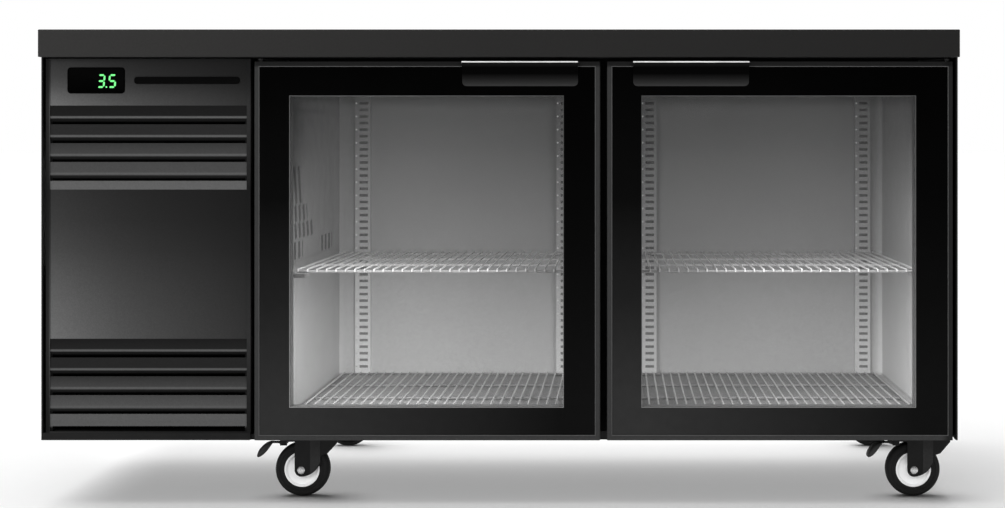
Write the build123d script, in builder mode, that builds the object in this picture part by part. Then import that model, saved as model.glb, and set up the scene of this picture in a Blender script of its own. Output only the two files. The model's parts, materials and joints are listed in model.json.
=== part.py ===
from build123d import *
import os
from math import cos, radians, sin

# Undercounter refrigerator with two glass doors, a condensing unit on the left and four castors.
# Millimetres. X to the right, Y to the back, Z up. The origin is on the floor, under the middle
# of the worktop.

# ---------------------------------------------------------------------------------------------
# Driving dimensions
# ---------------------------------------------------------------------------------------------

# Worktop
height = 870.0
depth = 700.0
worktop_half_width = 841.0
worktop_thickness = 50.0
worktop_edge_radius = 2.0

# Cabinet shell
body_half_width = 840.0
body_bottom = 118.0
body_back = 340.0
sheet = 1.5
side_hem = 3.0
side_hem_depth = 20.0
side_front = -334.0
pan_bottom = 125.0
pan_thickness = 2.0
base_rail_top = 131.5
base_rail_depth = 14.0
base_rail_right = -457.5
pan_lip_thickness = 3.0
shallow_lips_x = ((-392.0, -278.0), (726.0, 774.0), (815.0, 838.5))
deep_lips_x = ((-480.0, -432.0), (-278.0, 726.0))
deep_lip_bottom = 111.0

# Doors
door_front = -336.0
door_bottom = 118.0
door_top = 812.0
left_door_x = (-449.5, 184.5)
right_door_x = (197.0, 831.0)
left_window_x = (-384.0, 116.5)
right_window_x = (261.5, 762.0)
window_z = (179.0, 748.5)
door_thickness = 40.0
door_edge_radius = 3.0
door_strip = 9.5
glass_thickness = 4.0
glass_inset = 1.0
spacer_width = 6.0
inner_glass_front = -304.0
inner_glass_margin = 14.0
door_skirt = 4.0
pin_hole_end_gap = 0.5
door_body_bottom = 126.0

# Door gasket
gasket_inset = 20.0
gasket_width = 12.0
gasket_z = (148.0, 792.0)
gasket_gap = 0.3

# Door hinges
pivot_inset = 10.0
pivot_setback = 12.0
pin_radius = 4.0
pin_length = 12.0
pin_clearance = 0.05
bracket_thickness = 3.0
bracket_nose_radius = 6.5
bracket_nose = ((-5.0, 4.0), (-2.0, -5.0), (6.2, 0.0))
bracket_top = 817.5
bracket_bottom = 122.5
bracket_flange = 16.0
bracket_flange_x = (9.0, 44.0)

# Door handles
handle_width = 212.0
handle_height = 45.0
handle_corner_radius = 8.0
handle_lip = (1.0, 1.5, 4.0)
handle_hollow = (4.0, 17.0)
handle_foot = 1.5
handle_pad_margin = (10.0, 9.5)
left_handle_x = -68.0
right_handle_x = 245.0

# Front frame, liner and foam
frame_front = -286.0
frame_thickness = 6.0
frame_opening_z = (166.0, 774.0)
left_opening_x = (-406.0, 145.0)
right_opening_x = (238.0, 794.0)
inside_x = (-406.0, 806.5)
inside_back = 304.0
inside_z = (148.0, 785.0)
liner_sheet = 1.2
foam_left = -495.0
recess_x = -455.0
recess_y = (-240.0, 185.0)
recess_z = (440.0, 720.0)

# Evaporator cover
cover_front = -398.0
cover_y = (-246.0, 189.0)
cover_z = (436.0, 725.0)
cover_corner_radius = 12.0
cover_slot_width = 6.0
cover_slot_pitch = 13.0
grille_start = -232.0
grille_lean = 16.0
grille_rows = ((546.0, 620.0, -150.0), (512.0, 544.0, -95.0), (480.0, 510.0, -30.0))
return_slots_z = (441.0, 474.0)
return_slots_y = ((-236.0, -140.0), (36.0, 178.0))

# Evaporator coil and fans
fin_thickness = 1.5
coil_tube_radius = 5.0
evaporator_x = (-451.0, -415.0)
evaporator_y = (-50.0, 178.0)
evaporator_z = (470.0, 712.0)
evaporator_fins = 24
evaporator_tube_rows = 6
evaporator_fan_centre = (-425.0, -140.0, 545.0)
evaporator_fan_radius = 68.0
evaporator_fan_hub = (18.0, 12.0)
evaporator_fan_blade = (36.0, 18.0)
evaporator_shaft_length = 10.0
evaporator_motor_radius = 30.0
evaporator_motor_gap = 12.0
evaporator_motor_bar = (2.0, 160.0, 16.0)
shaft_radius = 4.0
blade_count = 5
blade_root = 3.0
blade_thickness = 2.0

# Shelves
shelf_width = 588.0
shelf_y = (-234.0, 284.0)
shelf_pitch = 18.0
shelf_wire = 3.2
shelf_rod = 5.0
shelf_weld = 0.4
shelf_tops = {"lower": 158.0, "middle": 425.0}
shelf_centres = {"left": -102.0, "right": 494.0}
running_gap = 0.3

# Shelf pilasters and clips
back_pilasters_x = (-352.0, 96.0, 285.0, 761.0)
pilaster_width = 34.0
back_pilaster_depth = 12.0
mullion_pilasters_x = (164.0, 219.0)
mullion_pilaster_width = 28.0
front_pilaster_y = (-279.0, -250.0)
front_pilaster_depth = 6.0
pilaster_z = (150.0, 772.0)
slot_pitch = 14.65
slot_count_up = 41
slot_depth = 2.0
pilaster_slot = (19.0, 6.0)
clip_height = 6.0
back_clip_width = 16.0
mullion_clip_width = 12.0
wall_clip_reach = 30.0
wall_clip_setback = 6.0
clip_under_shelf = (14.0, 16.0)

# Machine compartment front panel
panel_x = (-831.0, -456.0)
panel_z = (131.5, 817.0)
panel_strip = 7.0
panel_rim = (3.0, 1.5)
panel_return = 18.0
panel_field_inset = 2.0
louvre_strap = 4.0
display_margin = 4.0
display_depth = 16.0
louvre_pitch = 34.5
louvre_slot = 12.3
louvre_reach = 12.0
upper_louvre_z = (577.5, 731.5)
lower_louvre_z = (134.5, 304.0)
upper_louvre_count = 5
lower_louvre_count = 5
display_x = (-792.0, -686.5)
display_z = (753.5, 801.5)
display_corner_radius = 6.5

# Refrigerant pipes
pipe_radius = 4.0
pipe_bend = 24.0
pipe_port_radius = 6.0
discharge_x = -800.0
discharge_z = (250.0, 460.0)
condenser_port_y = -273.0
liquid_x = -560.0
liquid_z = 500.0
liquid_port = (-120.0, 660.0)
suction_x = -540.0
suction_z = 210.0
suction_port = (130.0, 520.0)
drier_radius = 12.0
drier_z = (525.0, 615.0)

# Condensing unit
machine_floor = 129.0
machine_x = (-836.0, -499.0)
condenser_x = (-822.0, -532.0)
condenser_y = (-296.0, -250.0)
condenser_z = (150.0, 430.0)
condenser_fins = 30
condenser_tube_rows = 7
condenser_foot = 8.0
condenser_fan_centre = (-677.0, -212.0, 290.0)
condenser_fan_radius = 98.0
condenser_fan_hub = (24.0, 16.0)
condenser_fan_blade = (52.0, 24.0)
condenser_shaft_length = 16.0
shroud_setback = 14.0
shroud_ring = (4.0, 20.0)
condenser_motor_radius = 38.0
condenser_motor_length = 48.0
condenser_motor_gap = 16.0
motor_bar = (2.0, 6.0, 8.0)
motor_arm = (106.0, 120.0)
tray_y = (-300.0, 330.0)
tray_height = 12.0
tray_sheet = 2.0
compressor_centre = (-690.0, 130.0)
compressor_radius = 72.0
compressor_height = 150.0
compressor_bottom = 147.0
compressor_dome = 38.0
compressor_foot = 4.0
compressor_foot_margin = 26.0
terminal_box_x = (-720.0, -660.0)
terminal_box_y = (38.0, 80.0)
terminal_box_z = (180.0, 240.0)
grommet_spacing = (170.0, 130.0)
grommet_radius = 11.0
evaporating_tray_x = (-790.0, -590.0)
evaporating_tray_y = (40.0, 240.0)
evaporating_tray_z = (330.0, 362.0)
evaporating_leg_y = (190.0, 230.0)
control_box_x = (-825.0, -660.0)
control_box_y = (-300.0, -225.0)
control_box_bottom = 735.0
control_box_radius = 3.0

# Rear vents and mains inlet
rear_vent = (8.0, 70.0)
rear_vent_pitch = (20.0, 110.0)
rear_vent_count = (13, 3)
rear_vent_centre = (-660.0, 470.0)
inlet_centre = (-600.0, 230.0)
inlet_size = (48.0, 30.0)
inlet_flange = (14.0, 8.0, 6.0)
inlet_depth = 26.0
inlet_fit = 0.1
inlet_socket = (26.0, 18.0, 20.0)
inlet_blade = (2.0, 5.0)
inlet_blade_pitch = 7.0

# Castors
castor_x = (-349.5, 797.0)
castor_y = (-254.0, 254.0)
wheel_radius = 51.0
wheel_width = 30.0
hub_radius = 33.0
hub_width = 27.0
trail = 26.0
axle_radius = 5.0
fork_inner = 17.0
fork_sheet = 3.0
leg_end_radius = 12.5
leg_right = 10.0
leg_shoulder = 64.0
leg_arc_radius = 44.0
crown_z = (106.0, 110.0)
crown_right = 42.0
crown_slope = ((42.0, 104.0), (23.0, 82.0), (10.0, 78.0))
ear_x = (-66.0, -53.0)
ear_bottom = 97.0
ear_strip_bottom = 104.0
race_top = 117.0
race_radius = 26.0
cup_margin = 2.0
kingpin_radius = 6.0
kingpin_gap = 1.0
axle_head = (7.0, 4.0)
axle_nut = (8.0, 5.0)
hub_groove = (14.0, 28.0, 6.0)
tyre_shoulder = 6.0
castor_plate = (80.0, 60.0, 4.0)
castor_plate_corner = 5.0
castor_bolt_spacing = (64.0, 44.0)
castor_bolt_radius = 4.0
bolt_clearance = 0.1
bolt_head = (6.5, 5.3)
pedal_pivot = (-60.0, 101.0)
pedal_pin_radius = 3.0
pedal_boss_radius = 5.5
pedal_half_width = 15.0
pedal_outline = (
    (0.0, 5.0),
    (-12.0, 3.2),
    (-26.0, 1.2),
    (-38.0, -1.7),
    (-46.5, -12.5),
    (-50.7, -23.3),
    (-47.7, -26.6),
    (-40.5, -24.5),
    (-33.9, -18.5),
    (-27.2, -6.5),
    (-22.0, -2.0),
    (-10.0, -2.6),
    (0.0, -5.0),
)

# ---------------------------------------------------------------------------------------------
# Derived positions
# ---------------------------------------------------------------------------------------------

front = -depth / 2
back = depth / 2
worktop_bottom = height - worktop_thickness
door_back = door_front + door_thickness
glass_front = door_front + glass_inset
glass_back = glass_front + glass_thickness
frame_back = frame_front + frame_thickness
pivot_y = door_front + pivot_setback
foam_bottom = pan_bottom + pan_thickness
foam_back = body_back - sheet
castor_places = [(x, y) for x in castor_x for y in castor_y]
castor_names = ["left_front", "left_rear", "right_front", "right_rear"]

os.makedirs("parts", exist_ok=True)


def block(x, y, z, mode=Mode.ADD):
    """Box between its X, Y and Z limits."""
    with Locations(((x[0] + x[1]) / 2, (y[0] + y[1]) / 2, (z[0] + z[1]) / 2)):
        Box(x[1] - x[0], y[1] - y[0], z[1] - z[0], mode=mode)


def round_bar(centre, radius, length, axis="Z", mode=Mode.ADD):
    """Cylinder centred on a point, with its length along one axis."""
    turn = {"X": (0, 90, 0), "Y": (90, 0, 0), "Z": (0, 0, 0)}[axis]
    with Locations(centre):
        Cylinder(radius, length, rotation=turn, mode=mode)


def grown(limits, amount):
    """A pair of limits moved apart by an amount at each end."""
    return (limits[0] - amount, limits[1] + amount)


def around(centre, width):
    """Limits that lie evenly about a centre."""
    return (centre - width / 2, centre + width / 2)


# ---------------------------------------------------------------------------------------------
# Worktop
# ---------------------------------------------------------------------------------------------

worktop_x = (-worktop_half_width, worktop_half_width)

with BuildPart() as worktop:
    block(worktop_x, (front, back), (worktop_bottom, height))
    fillet(worktop.edges().filter_by(Axis.Z), worktop_edge_radius)
    fillet(worktop.faces().sort_by(Axis.Z)[-1].edges(), worktop_edge_radius)
    block(
        grown(worktop_x, -sheet),
        grown((front, back), -sheet),
        (worktop_bottom, height - sheet),
        mode=Mode.SUBTRACT,
    )
worktop.part.label = "worktop"
export_step(worktop.part, "parts/worktop.step")

with BuildPart() as worktop_core:
    block(
        grown(worktop_x, -sheet),
        grown((front, back), -sheet),
        (worktop_bottom, height - sheet),
    )
worktop_core.part.label = "worktop_core"
export_step(worktop_core.part, "parts/worktop_core.step")

# ---------------------------------------------------------------------------------------------
# Cabinet shell and base
# ---------------------------------------------------------------------------------------------

side_inner = body_half_width - sheet

rear_vent_plane = Plane(
    origin=(rear_vent_centre[0], body_back, rear_vent_centre[1]), x_dir=(1, 0, 0), z_dir=(0, -1, 0)
)
inlet_plane = Plane(
    origin=(inlet_centre[0], body_back, inlet_centre[1]), x_dir=(1, 0, 0), z_dir=(0, -1, 0)
)

# Two sides and a back, with a folded hem along each front edge
with BuildPart() as cabinet_shell:
    for side in (-1, 1):
        side_x = sorted((side * body_half_width, side * side_inner))
        hem_x = sorted((side * body_half_width, side * (body_half_width - side_hem)))
        block(side_x, (side_front, body_back), (body_bottom, worktop_bottom))
        block(hem_x, (side_front, side_front + side_hem_depth), (body_bottom, worktop_bottom))
    block((-body_half_width, body_half_width), (foam_back, body_back), (body_bottom, worktop_bottom))
    with BuildSketch(rear_vent_plane):
        with GridLocations(*rear_vent_pitch, *rear_vent_count):
            SlotOverall(rear_vent[1], rear_vent[0], rotation=90)
    extrude(amount=sheet, mode=Mode.SUBTRACT)
    with BuildSketch(inlet_plane):
        Rectangle(*inlet_size)
    extrude(amount=sheet, mode=Mode.SUBTRACT)
cabinet_shell.part.label = "cabinet_shell"
export_step(cabinet_shell.part, "parts/cabinet_shell.step")

# Bottom sheet with holes for the castor bolts, lips that close the gaps under the door edges
# (shallow above the castors), and the rail under the front panel
with BuildPart() as base_pan:
    block((-side_inner, side_inner), (frame_front, foam_back), (pan_bottom, foam_bottom))
    lip_y = (frame_front - pan_lip_thickness, frame_front)
    for lip_x in shallow_lips_x:
        block(lip_x, lip_y, (body_bottom, foam_bottom))
    for lip_x in deep_lips_x:
        block(lip_x, lip_y, (deep_lip_bottom, foam_bottom))
    block(
        (-body_half_width + side_hem, base_rail_right),
        (side_front, side_front + base_rail_depth),
        (body_bottom, base_rail_top),
    )
    block(
        (-side_inner, base_rail_right),
        (side_front + side_hem_depth, frame_front),
        (pan_bottom, foam_bottom),
    )
    block(
        (-body_half_width + side_hem, base_rail_right),
        (side_front + base_rail_depth, side_front + side_hem_depth),
        (pan_bottom, foam_bottom),
    )
    for x, y in castor_places:
        with Locations((x, y, foam_bottom)):
            with GridLocations(*castor_bolt_spacing, 2, 2):
                Hole(castor_bolt_radius, pan_thickness)
base_pan.part.label = "base_pan"
export_step(base_pan.part, "parts/base_pan.step")

# ---------------------------------------------------------------------------------------------
# Foam, liner and front frame
# ---------------------------------------------------------------------------------------------

liner_x = grown(inside_x, liner_sheet)
liner_z = grown(inside_z, liner_sheet)
liner_recess_x = (recess_x - liner_sheet, inside_x[0])
liner_recess_y = grown(recess_y, liner_sheet)
liner_recess_z = grown(recess_z, liner_sheet)

with BuildPart() as insulation_foam:
    block((foam_left, side_inner), (frame_back, foam_back), (foam_bottom, worktop_bottom))
    block(liner_x, (frame_back, inside_back + liner_sheet), liner_z, mode=Mode.SUBTRACT)
    block(liner_recess_x, liner_recess_y, liner_recess_z, mode=Mode.SUBTRACT)
    for port_y, port_z in (liquid_port, suction_port):
        port_middle = ((foam_left + liner_recess_x[0]) / 2, port_y, port_z)
        port_length = liner_recess_x[0] - foam_left
        round_bar(port_middle, pipe_port_radius, port_length, "X", mode=Mode.SUBTRACT)
insulation_foam.part.label = "insulation_foam"
export_step(insulation_foam.part, "parts/insulation_foam.step")

with BuildPart() as inner_liner:
    block(liner_x, (frame_back, inside_back + liner_sheet), liner_z)
    block(liner_recess_x, liner_recess_y, liner_recess_z)
    block(inside_x, (frame_back, inside_back), inside_z, mode=Mode.SUBTRACT)
    block((recess_x, inside_x[0]), recess_y, recess_z, mode=Mode.SUBTRACT)
inner_liner.part.label = "inner_liner"
export_step(inner_liner.part, "parts/inner_liner.step")

# One moulding round both door openings, with the mullion between them
with BuildPart() as front_frame:
    block((foam_left, side_inner), (frame_front, frame_back), (foam_bottom, worktop_bottom))
    for opening_x in (left_opening_x, right_opening_x):
        block(opening_x, (frame_front, frame_back), frame_opening_z, mode=Mode.SUBTRACT)
front_frame.part.label = "front_frame"
export_step(front_frame.part, "parts/front_frame.step")

# ---------------------------------------------------------------------------------------------
# Door hinge brackets
# ---------------------------------------------------------------------------------------------

hinge_pivots = [(left_door_x[0] + pivot_inset, 1), (right_door_x[1] - pivot_inset, -1)]


def bracket_outline(pivot_x, inward, plate_z):
    """Flat outline with a nose round the pivot, widening back to the front frame."""
    with BuildSketch(Plane.XY.offset(plate_z)) as outline:
        with Locations((pivot_x, pivot_y)):
            Circle(bracket_nose_radius)
        with BuildLine():
            Polyline(
                *[(pivot_x + inward * along, pivot_y + back) for along, back in bracket_nose],
                (pivot_x + inward * bracket_flange_x[1], frame_front),
                (pivot_x + inward * bracket_flange_x[0], frame_front),
                close=True,
            )
        make_face()
    return outline.sketch


# Each bracket is a plate, a flange against the front frame and a pin that stands in the door
with BuildPart() as hinge_brackets:
    for pivot_x, inward in hinge_pivots:
        flange_x = sorted(pivot_x + inward * offset for offset in bracket_flange_x)
        flange_y = (frame_front - bracket_thickness, frame_front)
        for plate_z, flange_z, pin_z in (
            (
                bracket_top - bracket_thickness,
                (bracket_top - bracket_flange, bracket_top),
                (door_top - pin_length, bracket_top),
            ),
            (
                bracket_bottom,
                (bracket_bottom, bracket_bottom + bracket_flange),
                (bracket_bottom, door_body_bottom + pin_length),
            ),
        ):
            extrude(bracket_outline(pivot_x, inward, plate_z), amount=bracket_thickness)
            block(flange_x, flange_y, flange_z)
            round_bar((pivot_x, pivot_y, sum(pin_z) / 2), pin_radius, pin_z[1] - pin_z[0])
hinge_brackets.part.label = "hinge_brackets"
export_step(hinge_brackets.part, "parts/hinge_brackets.step")

# ---------------------------------------------------------------------------------------------
# Shelf pilasters and clips
# ---------------------------------------------------------------------------------------------

mullion_pilaster_y = (frame_back, frame_back + front_pilaster_depth)

with BuildPart() as shelf_pilasters:
    for x in back_pilasters_x:
        block(
            around(x, pilaster_width),
            (inside_back - back_pilaster_depth, inside_back),
            pilaster_z,
        )
        slot_plane = Plane(
            origin=(x, inside_back - back_pilaster_depth, sum(pilaster_z) / 2),
            x_dir=(1, 0, 0),
            z_dir=(0, -1, 0),
        )
        with BuildSketch(slot_plane):
            with GridLocations(pilaster_width, slot_pitch, 1, slot_count_up):
                Rectangle(*pilaster_slot)
        extrude(amount=-slot_depth, mode=Mode.SUBTRACT)
    for x in mullion_pilasters_x:
        block(around(x, mullion_pilaster_width), mullion_pilaster_y, pilaster_z)
    block((inside_x[0], inside_x[0] + front_pilaster_depth), front_pilaster_y, pilaster_z)
    block((inside_x[1] - front_pilaster_depth, inside_x[1]), front_pilaster_y, pilaster_z)
shelf_pilasters.part.label = "shelf_pilasters"
export_step(shelf_pilasters.part, "parts/shelf_pilasters.step")

# Rods hang below the wires, so the clips reach under the rods
shelf_drop = shelf_wire + shelf_rod - shelf_weld
clip_front_reach = shelf_y[0] + clip_under_shelf[0]
clip_back_reach = shelf_y[1] - clip_under_shelf[1]
wall_clip_x = grown(inside_x, -front_pilaster_depth)

with BuildPart() as shelf_clips:
    for shelf_top in shelf_tops.values():
        clip_top = shelf_top - shelf_drop - running_gap
        clip_z = (max(clip_top - clip_height, inside_z[0]), clip_top)
        for x in back_pilasters_x:
            clip_y = (clip_back_reach, inside_back - back_pilaster_depth)
            block(around(x, back_clip_width), clip_y, clip_z)
        for x in mullion_pilasters_x:
            clip_y = (mullion_pilaster_y[1], clip_front_reach)
            block(around(x, mullion_clip_width), clip_y, clip_z)
        left_clip_x = (wall_clip_x[0], wall_clip_x[0] + wall_clip_reach)
        right_clip_x = (wall_clip_x[1] - wall_clip_reach, wall_clip_x[1])
        for clip_x in (left_clip_x, right_clip_x):
            clip_y = (front_pilaster_y[0] + wall_clip_setback, clip_front_reach)
            block(clip_x, clip_y, clip_z)
shelf_clips.part.label = "shelf_clips"
export_step(shelf_clips.part, "parts/shelf_clips.step")

# ---------------------------------------------------------------------------------------------
# Wire shelves
# ---------------------------------------------------------------------------------------------

# Built with its top at Z = 0 and its middle at X = 0, then copied to its four places. The bars
# are square, as wide as the round wires and rods that they stand for.
shelf_depth = shelf_y[1] - shelf_y[0]
wire_count = int((shelf_width - 2 * shelf_rod) / shelf_pitch)
rod_z = (-shelf_drop, shelf_rod - shelf_drop)

with BuildPart() as wire_shelf:
    with Locations((0, sum(shelf_y) / 2, -shelf_wire / 2)):
        with GridLocations(shelf_pitch, 1, wire_count, 1):
            Box(shelf_wire, shelf_depth - shelf_rod, shelf_wire)
    for fraction in (0, 1 / 3, 2 / 3, 1):
        rod_start = shelf_y[0] + fraction * (shelf_depth - shelf_rod)
        block((-shelf_width / 2, shelf_width / 2), (rod_start, rod_start + shelf_rod), rod_z)
    for side in (-1, 1):
        rim_x = sorted((side * shelf_width / 2, side * (shelf_width / 2 - shelf_rod)))
        block(rim_x, shelf_y, rod_z)

for side_name, shelf_x in shelf_centres.items():
    for level_name, shelf_top in shelf_tops.items():
        shelf = wire_shelf.part.moved(Location((shelf_x, 0, shelf_top)))
        shelf.label = f"{side_name}_{level_name}_shelf"
        export_step(shelf, f"parts/{shelf.label}.step")

# ---------------------------------------------------------------------------------------------
# Evaporator, behind a slotted cover on the left wall
# ---------------------------------------------------------------------------------------------

cover_middle = (sum(cover_y) / 2, sum(cover_z) / 2)
cover_size = (cover_y[1] - cover_y[0], cover_z[1] - cover_z[0])
cover_plane = Plane(
    origin=(cover_front, cover_middle[0], cover_middle[1]), x_dir=(0, 1, 0), z_dir=(1, 0, 0)
)

with BuildPart() as evaporator_cover:
    with BuildSketch(cover_plane):
        RectangleRounded(*cover_size, cover_corner_radius)
    extrude(amount=-(cover_front - inside_x[0]))
    with BuildSketch(cover_plane.offset(-sheet)):
        RectangleRounded(
            cover_size[0] - 2 * sheet, cover_size[1] - 2 * sheet, cover_corner_radius - sheet
        )
    extrude(amount=-(cover_front - inside_x[0]), mode=Mode.SUBTRACT)
    with BuildSketch(cover_plane):
        for row_bottom, row_top, row_end in grille_rows:
            row_height = row_top - row_bottom
            row_middle = (
                (grille_start + row_end) / 2 - cover_middle[0],
                (row_bottom + row_top) / 2 - cover_middle[1],
            )
            slot_count = int((row_end - grille_start) / cover_slot_pitch)
            with Locations(row_middle):
                with GridLocations(cover_slot_pitch, 1, slot_count, 1):
                    SlotOverall(row_height, cover_slot_width, rotation=90 + grille_lean)
        for slots_start, slots_end in return_slots_y:
            slots_middle = (
                (slots_start + slots_end) / 2 - cover_middle[0],
                sum(return_slots_z) / 2 - cover_middle[1],
            )
            slot_count = int((slots_end - slots_start) / cover_slot_pitch)
            with Locations(slots_middle):
                with GridLocations(cover_slot_pitch, 1, slot_count, 1):
                    SlotOverall(
                        return_slots_z[1] - return_slots_z[0], cover_slot_width, rotation=90
                    )
    extrude(amount=-sheet, mode=Mode.SUBTRACT)
evaporator_cover.part.label = "evaporator_cover"
export_step(evaporator_cover.part, "parts/evaporator_cover.step")


def finned_coil(x, y, z, fin_count, tube_rows, along):
    """Fins stacked along one axis, with straight tubes through all of them."""
    stack = x if along == "X" else y
    pitch = (stack[1] - stack[0] - fin_thickness) / (fin_count - 1)
    for index in range(fin_count):
        start = stack[0] + index * pitch
        slab = (start, start + fin_thickness)
        if along == "X":
            block(slab, y, z)
        else:
            block(x, slab, z)
    row_pitch = (z[1] - z[0]) / tube_rows
    for row in range(tube_rows):
        centre = ((x[0] + x[1]) / 2, (y[0] + y[1]) / 2, z[0] + (row + 0.5) * row_pitch)
        round_bar(centre, coil_tube_radius, stack[1] - stack[0], along)


with BuildPart() as evaporator_coil:
    finned_coil(
        evaporator_x, evaporator_y, evaporator_z, evaporator_fins, evaporator_tube_rows, "Y"
    )
evaporator_coil.part.label = "evaporator_coil"
export_step(evaporator_coil.part, "parts/evaporator_coil.step")

fan_x, fan_y, fan_z = evaporator_fan_centre
evaporator_motor_x = (recess_x, fan_x - evaporator_motor_gap)
bar_thickness, bar_length, bar_height = evaporator_motor_bar

with BuildPart() as evaporator_fan_motor:
    motor_middle = sum(evaporator_motor_x) / 2
    motor_length = evaporator_motor_x[1] - evaporator_motor_x[0]
    round_bar((motor_middle, fan_y, fan_z), evaporator_motor_radius, motor_length, "X")
    block(
        (recess_x, recess_x + bar_thickness), around(fan_y, bar_length), around(fan_z, bar_height)
    )
    bore_middle = (motor_middle + 2 * bar_thickness, fan_y, fan_z)
    round_bar(bore_middle, shaft_radius + pin_clearance, motor_length, "X", mode=Mode.SUBTRACT)
evaporator_fan_motor.part.label = "evaporator_fan_motor"
export_step(evaporator_fan_motor.part, "parts/evaporator_fan_motor.step")


def axial_fan(plane, radius, hub, blade, shaft_length):
    """Hub with pitched blades about a plane's normal, and a shaft on its far side."""
    centre_radius, centre_length = hub
    chord, pitch_angle = blade
    with BuildPart() as fan:
        with BuildSketch(plane.offset(-centre_length / 2)):
            Circle(centre_radius)
        extrude(amount=centre_length)
        for index in range(blade_count):
            turn = radians(index * 360 / blade_count)
            outward = plane.x_dir * cos(turn) + plane.y_dir * sin(turn)
            sideways = plane.z_dir.cross(outward)
            pitch = radians(pitch_angle)
            blade_plane = Plane(
                origin=plane.origin + outward * (centre_radius - blade_root),
                x_dir=sideways * cos(pitch) + plane.z_dir * sin(pitch),
                z_dir=outward,
            )
            with BuildSketch(blade_plane):
                Rectangle(chord, blade_thickness)
            extrude(amount=radius - centre_radius)
        with BuildSketch(plane.offset(-centre_length / 2 - shaft_length)):
            Circle(shaft_radius)
        extrude(amount=shaft_length)
    return fan.part


evaporator_fan = axial_fan(
    Plane(origin=evaporator_fan_centre, x_dir=(0, 1, 0), z_dir=(1, 0, 0)),
    evaporator_fan_radius,
    evaporator_fan_hub,
    evaporator_fan_blade,
    evaporator_shaft_length,
)
evaporator_fan.label = "evaporator_fan"
export_step(evaporator_fan, "parts/evaporator_fan.step")

# ---------------------------------------------------------------------------------------------
# Condensing unit, on a tray behind the left panel
# ---------------------------------------------------------------------------------------------

with BuildPart() as machine_tray:
    block(machine_x, tray_y, (foam_bottom, machine_floor + tray_height))
    block(
        grown(machine_x, -tray_sheet),
        grown(tray_y, -tray_sheet),
        (machine_floor, machine_floor + tray_height),
        mode=Mode.SUBTRACT,
    )
machine_tray.part.label = "machine_tray"
export_step(machine_tray.part, "parts/machine_tray.step")

compressor_x, compressor_y = compressor_centre
foot_bottom = compressor_bottom - compressor_foot

with BuildPart() as compressor_grommets:
    with Locations((compressor_x, compressor_y, (machine_floor + foot_bottom) / 2)):
        with GridLocations(*grommet_spacing, 2, 2):
            Cylinder(grommet_radius, foot_bottom - machine_floor)
compressor_grommets.part.label = "compressor_grommets"
export_step(compressor_grommets.part, "parts/compressor_grommets.step")

# Domed shell on a foot plate, with its terminal box on the front
with BuildPart() as compressor:
    with BuildSketch(Plane.XY.offset(compressor_bottom)):
        with Locations(compressor_centre):
            Circle(compressor_radius)
    extrude(amount=compressor_height)
    fillet(compressor.edges().filter_by(GeomType.CIRCLE).sort_by(Axis.Z)[-1], compressor_dome)
    with BuildSketch(Plane.XY.offset(foot_bottom)):
        with Locations(compressor_centre):
            RectangleRounded(
                grommet_spacing[0] + compressor_foot_margin,
                grommet_spacing[1] + compressor_foot_margin,
                compressor_foot_margin / 2 - 1,
            )
    extrude(amount=compressor_foot)
    block(terminal_box_x, terminal_box_y, terminal_box_z)
compressor.part.label = "compressor"
export_step(compressor.part, "parts/compressor.step")

with BuildPart() as condenser_coil:
    finned_coil(
        condenser_x, condenser_y, condenser_z, condenser_fins, condenser_tube_rows, "X"
    )
    front_foot_y = (condenser_y[0], condenser_y[0] + condenser_foot)
    back_foot_y = (condenser_y[1] - condenser_foot, condenser_y[1])
    for foot_y in (front_foot_y, back_foot_y):
        block(condenser_x, foot_y, (machine_floor, condenser_z[0] + tray_sheet))
condenser_coil.part.label = "condenser_coil"
export_step(condenser_coil.part, "parts/condenser_coil.step")

# Square duct behind the coil, with a ring round the fan
cf_x, cf_y, cf_z = condenser_fan_centre
shroud_y = (condenser_y[1], cf_y + shroud_setback)
ring_gap, ring_length = shroud_ring
duct_length = 3 * ring_length
ring_middle = (cf_x, shroud_y[1] - ring_length / 2, cf_z)
ring_radius = condenser_fan_radius + ring_gap

with BuildPart() as condenser_shroud:
    block(condenser_x, shroud_y, condenser_z)
    block(
        grown(condenser_x, -tray_sheet),
        (shroud_y[0], shroud_y[1] - tray_sheet),
        grown(condenser_z, -tray_sheet),
        mode=Mode.SUBTRACT,
    )
    round_bar(ring_middle, ring_radius + tray_sheet, ring_length, "Y")
    round_bar(condenser_fan_centre, ring_radius, duct_length, "Y", mode=Mode.SUBTRACT)
condenser_shroud.part.label = "condenser_shroud"
export_step(condenser_shroud.part, "parts/condenser_shroud.step")

motor_front = cf_y + condenser_motor_gap
motor_middle_y = motor_front + condenser_motor_length / 2
motor_bar_start, motor_bar_end, motor_bar_half = motor_bar
motor_bar_z = around(cf_z, 2 * motor_bar_half)
motor_bar_back = motor_front + motor_bar_end

with BuildPart() as condenser_fan_motor:
    round_bar((cf_x, motor_middle_y, cf_z), condenser_motor_radius, condenser_motor_length, "Y")
    motor_bar_y = (motor_front + motor_bar_start, motor_bar_back)
    block(around(cf_x, 2 * motor_arm[1]), motor_bar_y, motor_bar_z)
    for side in (-1, 1):
        arm_x = sorted(cf_x + side * offset for offset in motor_arm)
        block(arm_x, (shroud_y[1], motor_bar_back), motor_bar_z)
    bore_length = 2 * (condenser_shaft_length - 1)
    round_bar((cf_x, motor_front, cf_z), shaft_radius + pin_clearance, bore_length, "Y",
              mode=Mode.SUBTRACT)
condenser_fan_motor.part.label = "condenser_fan_motor"
export_step(condenser_fan_motor.part, "parts/condenser_fan_motor.step")

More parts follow.
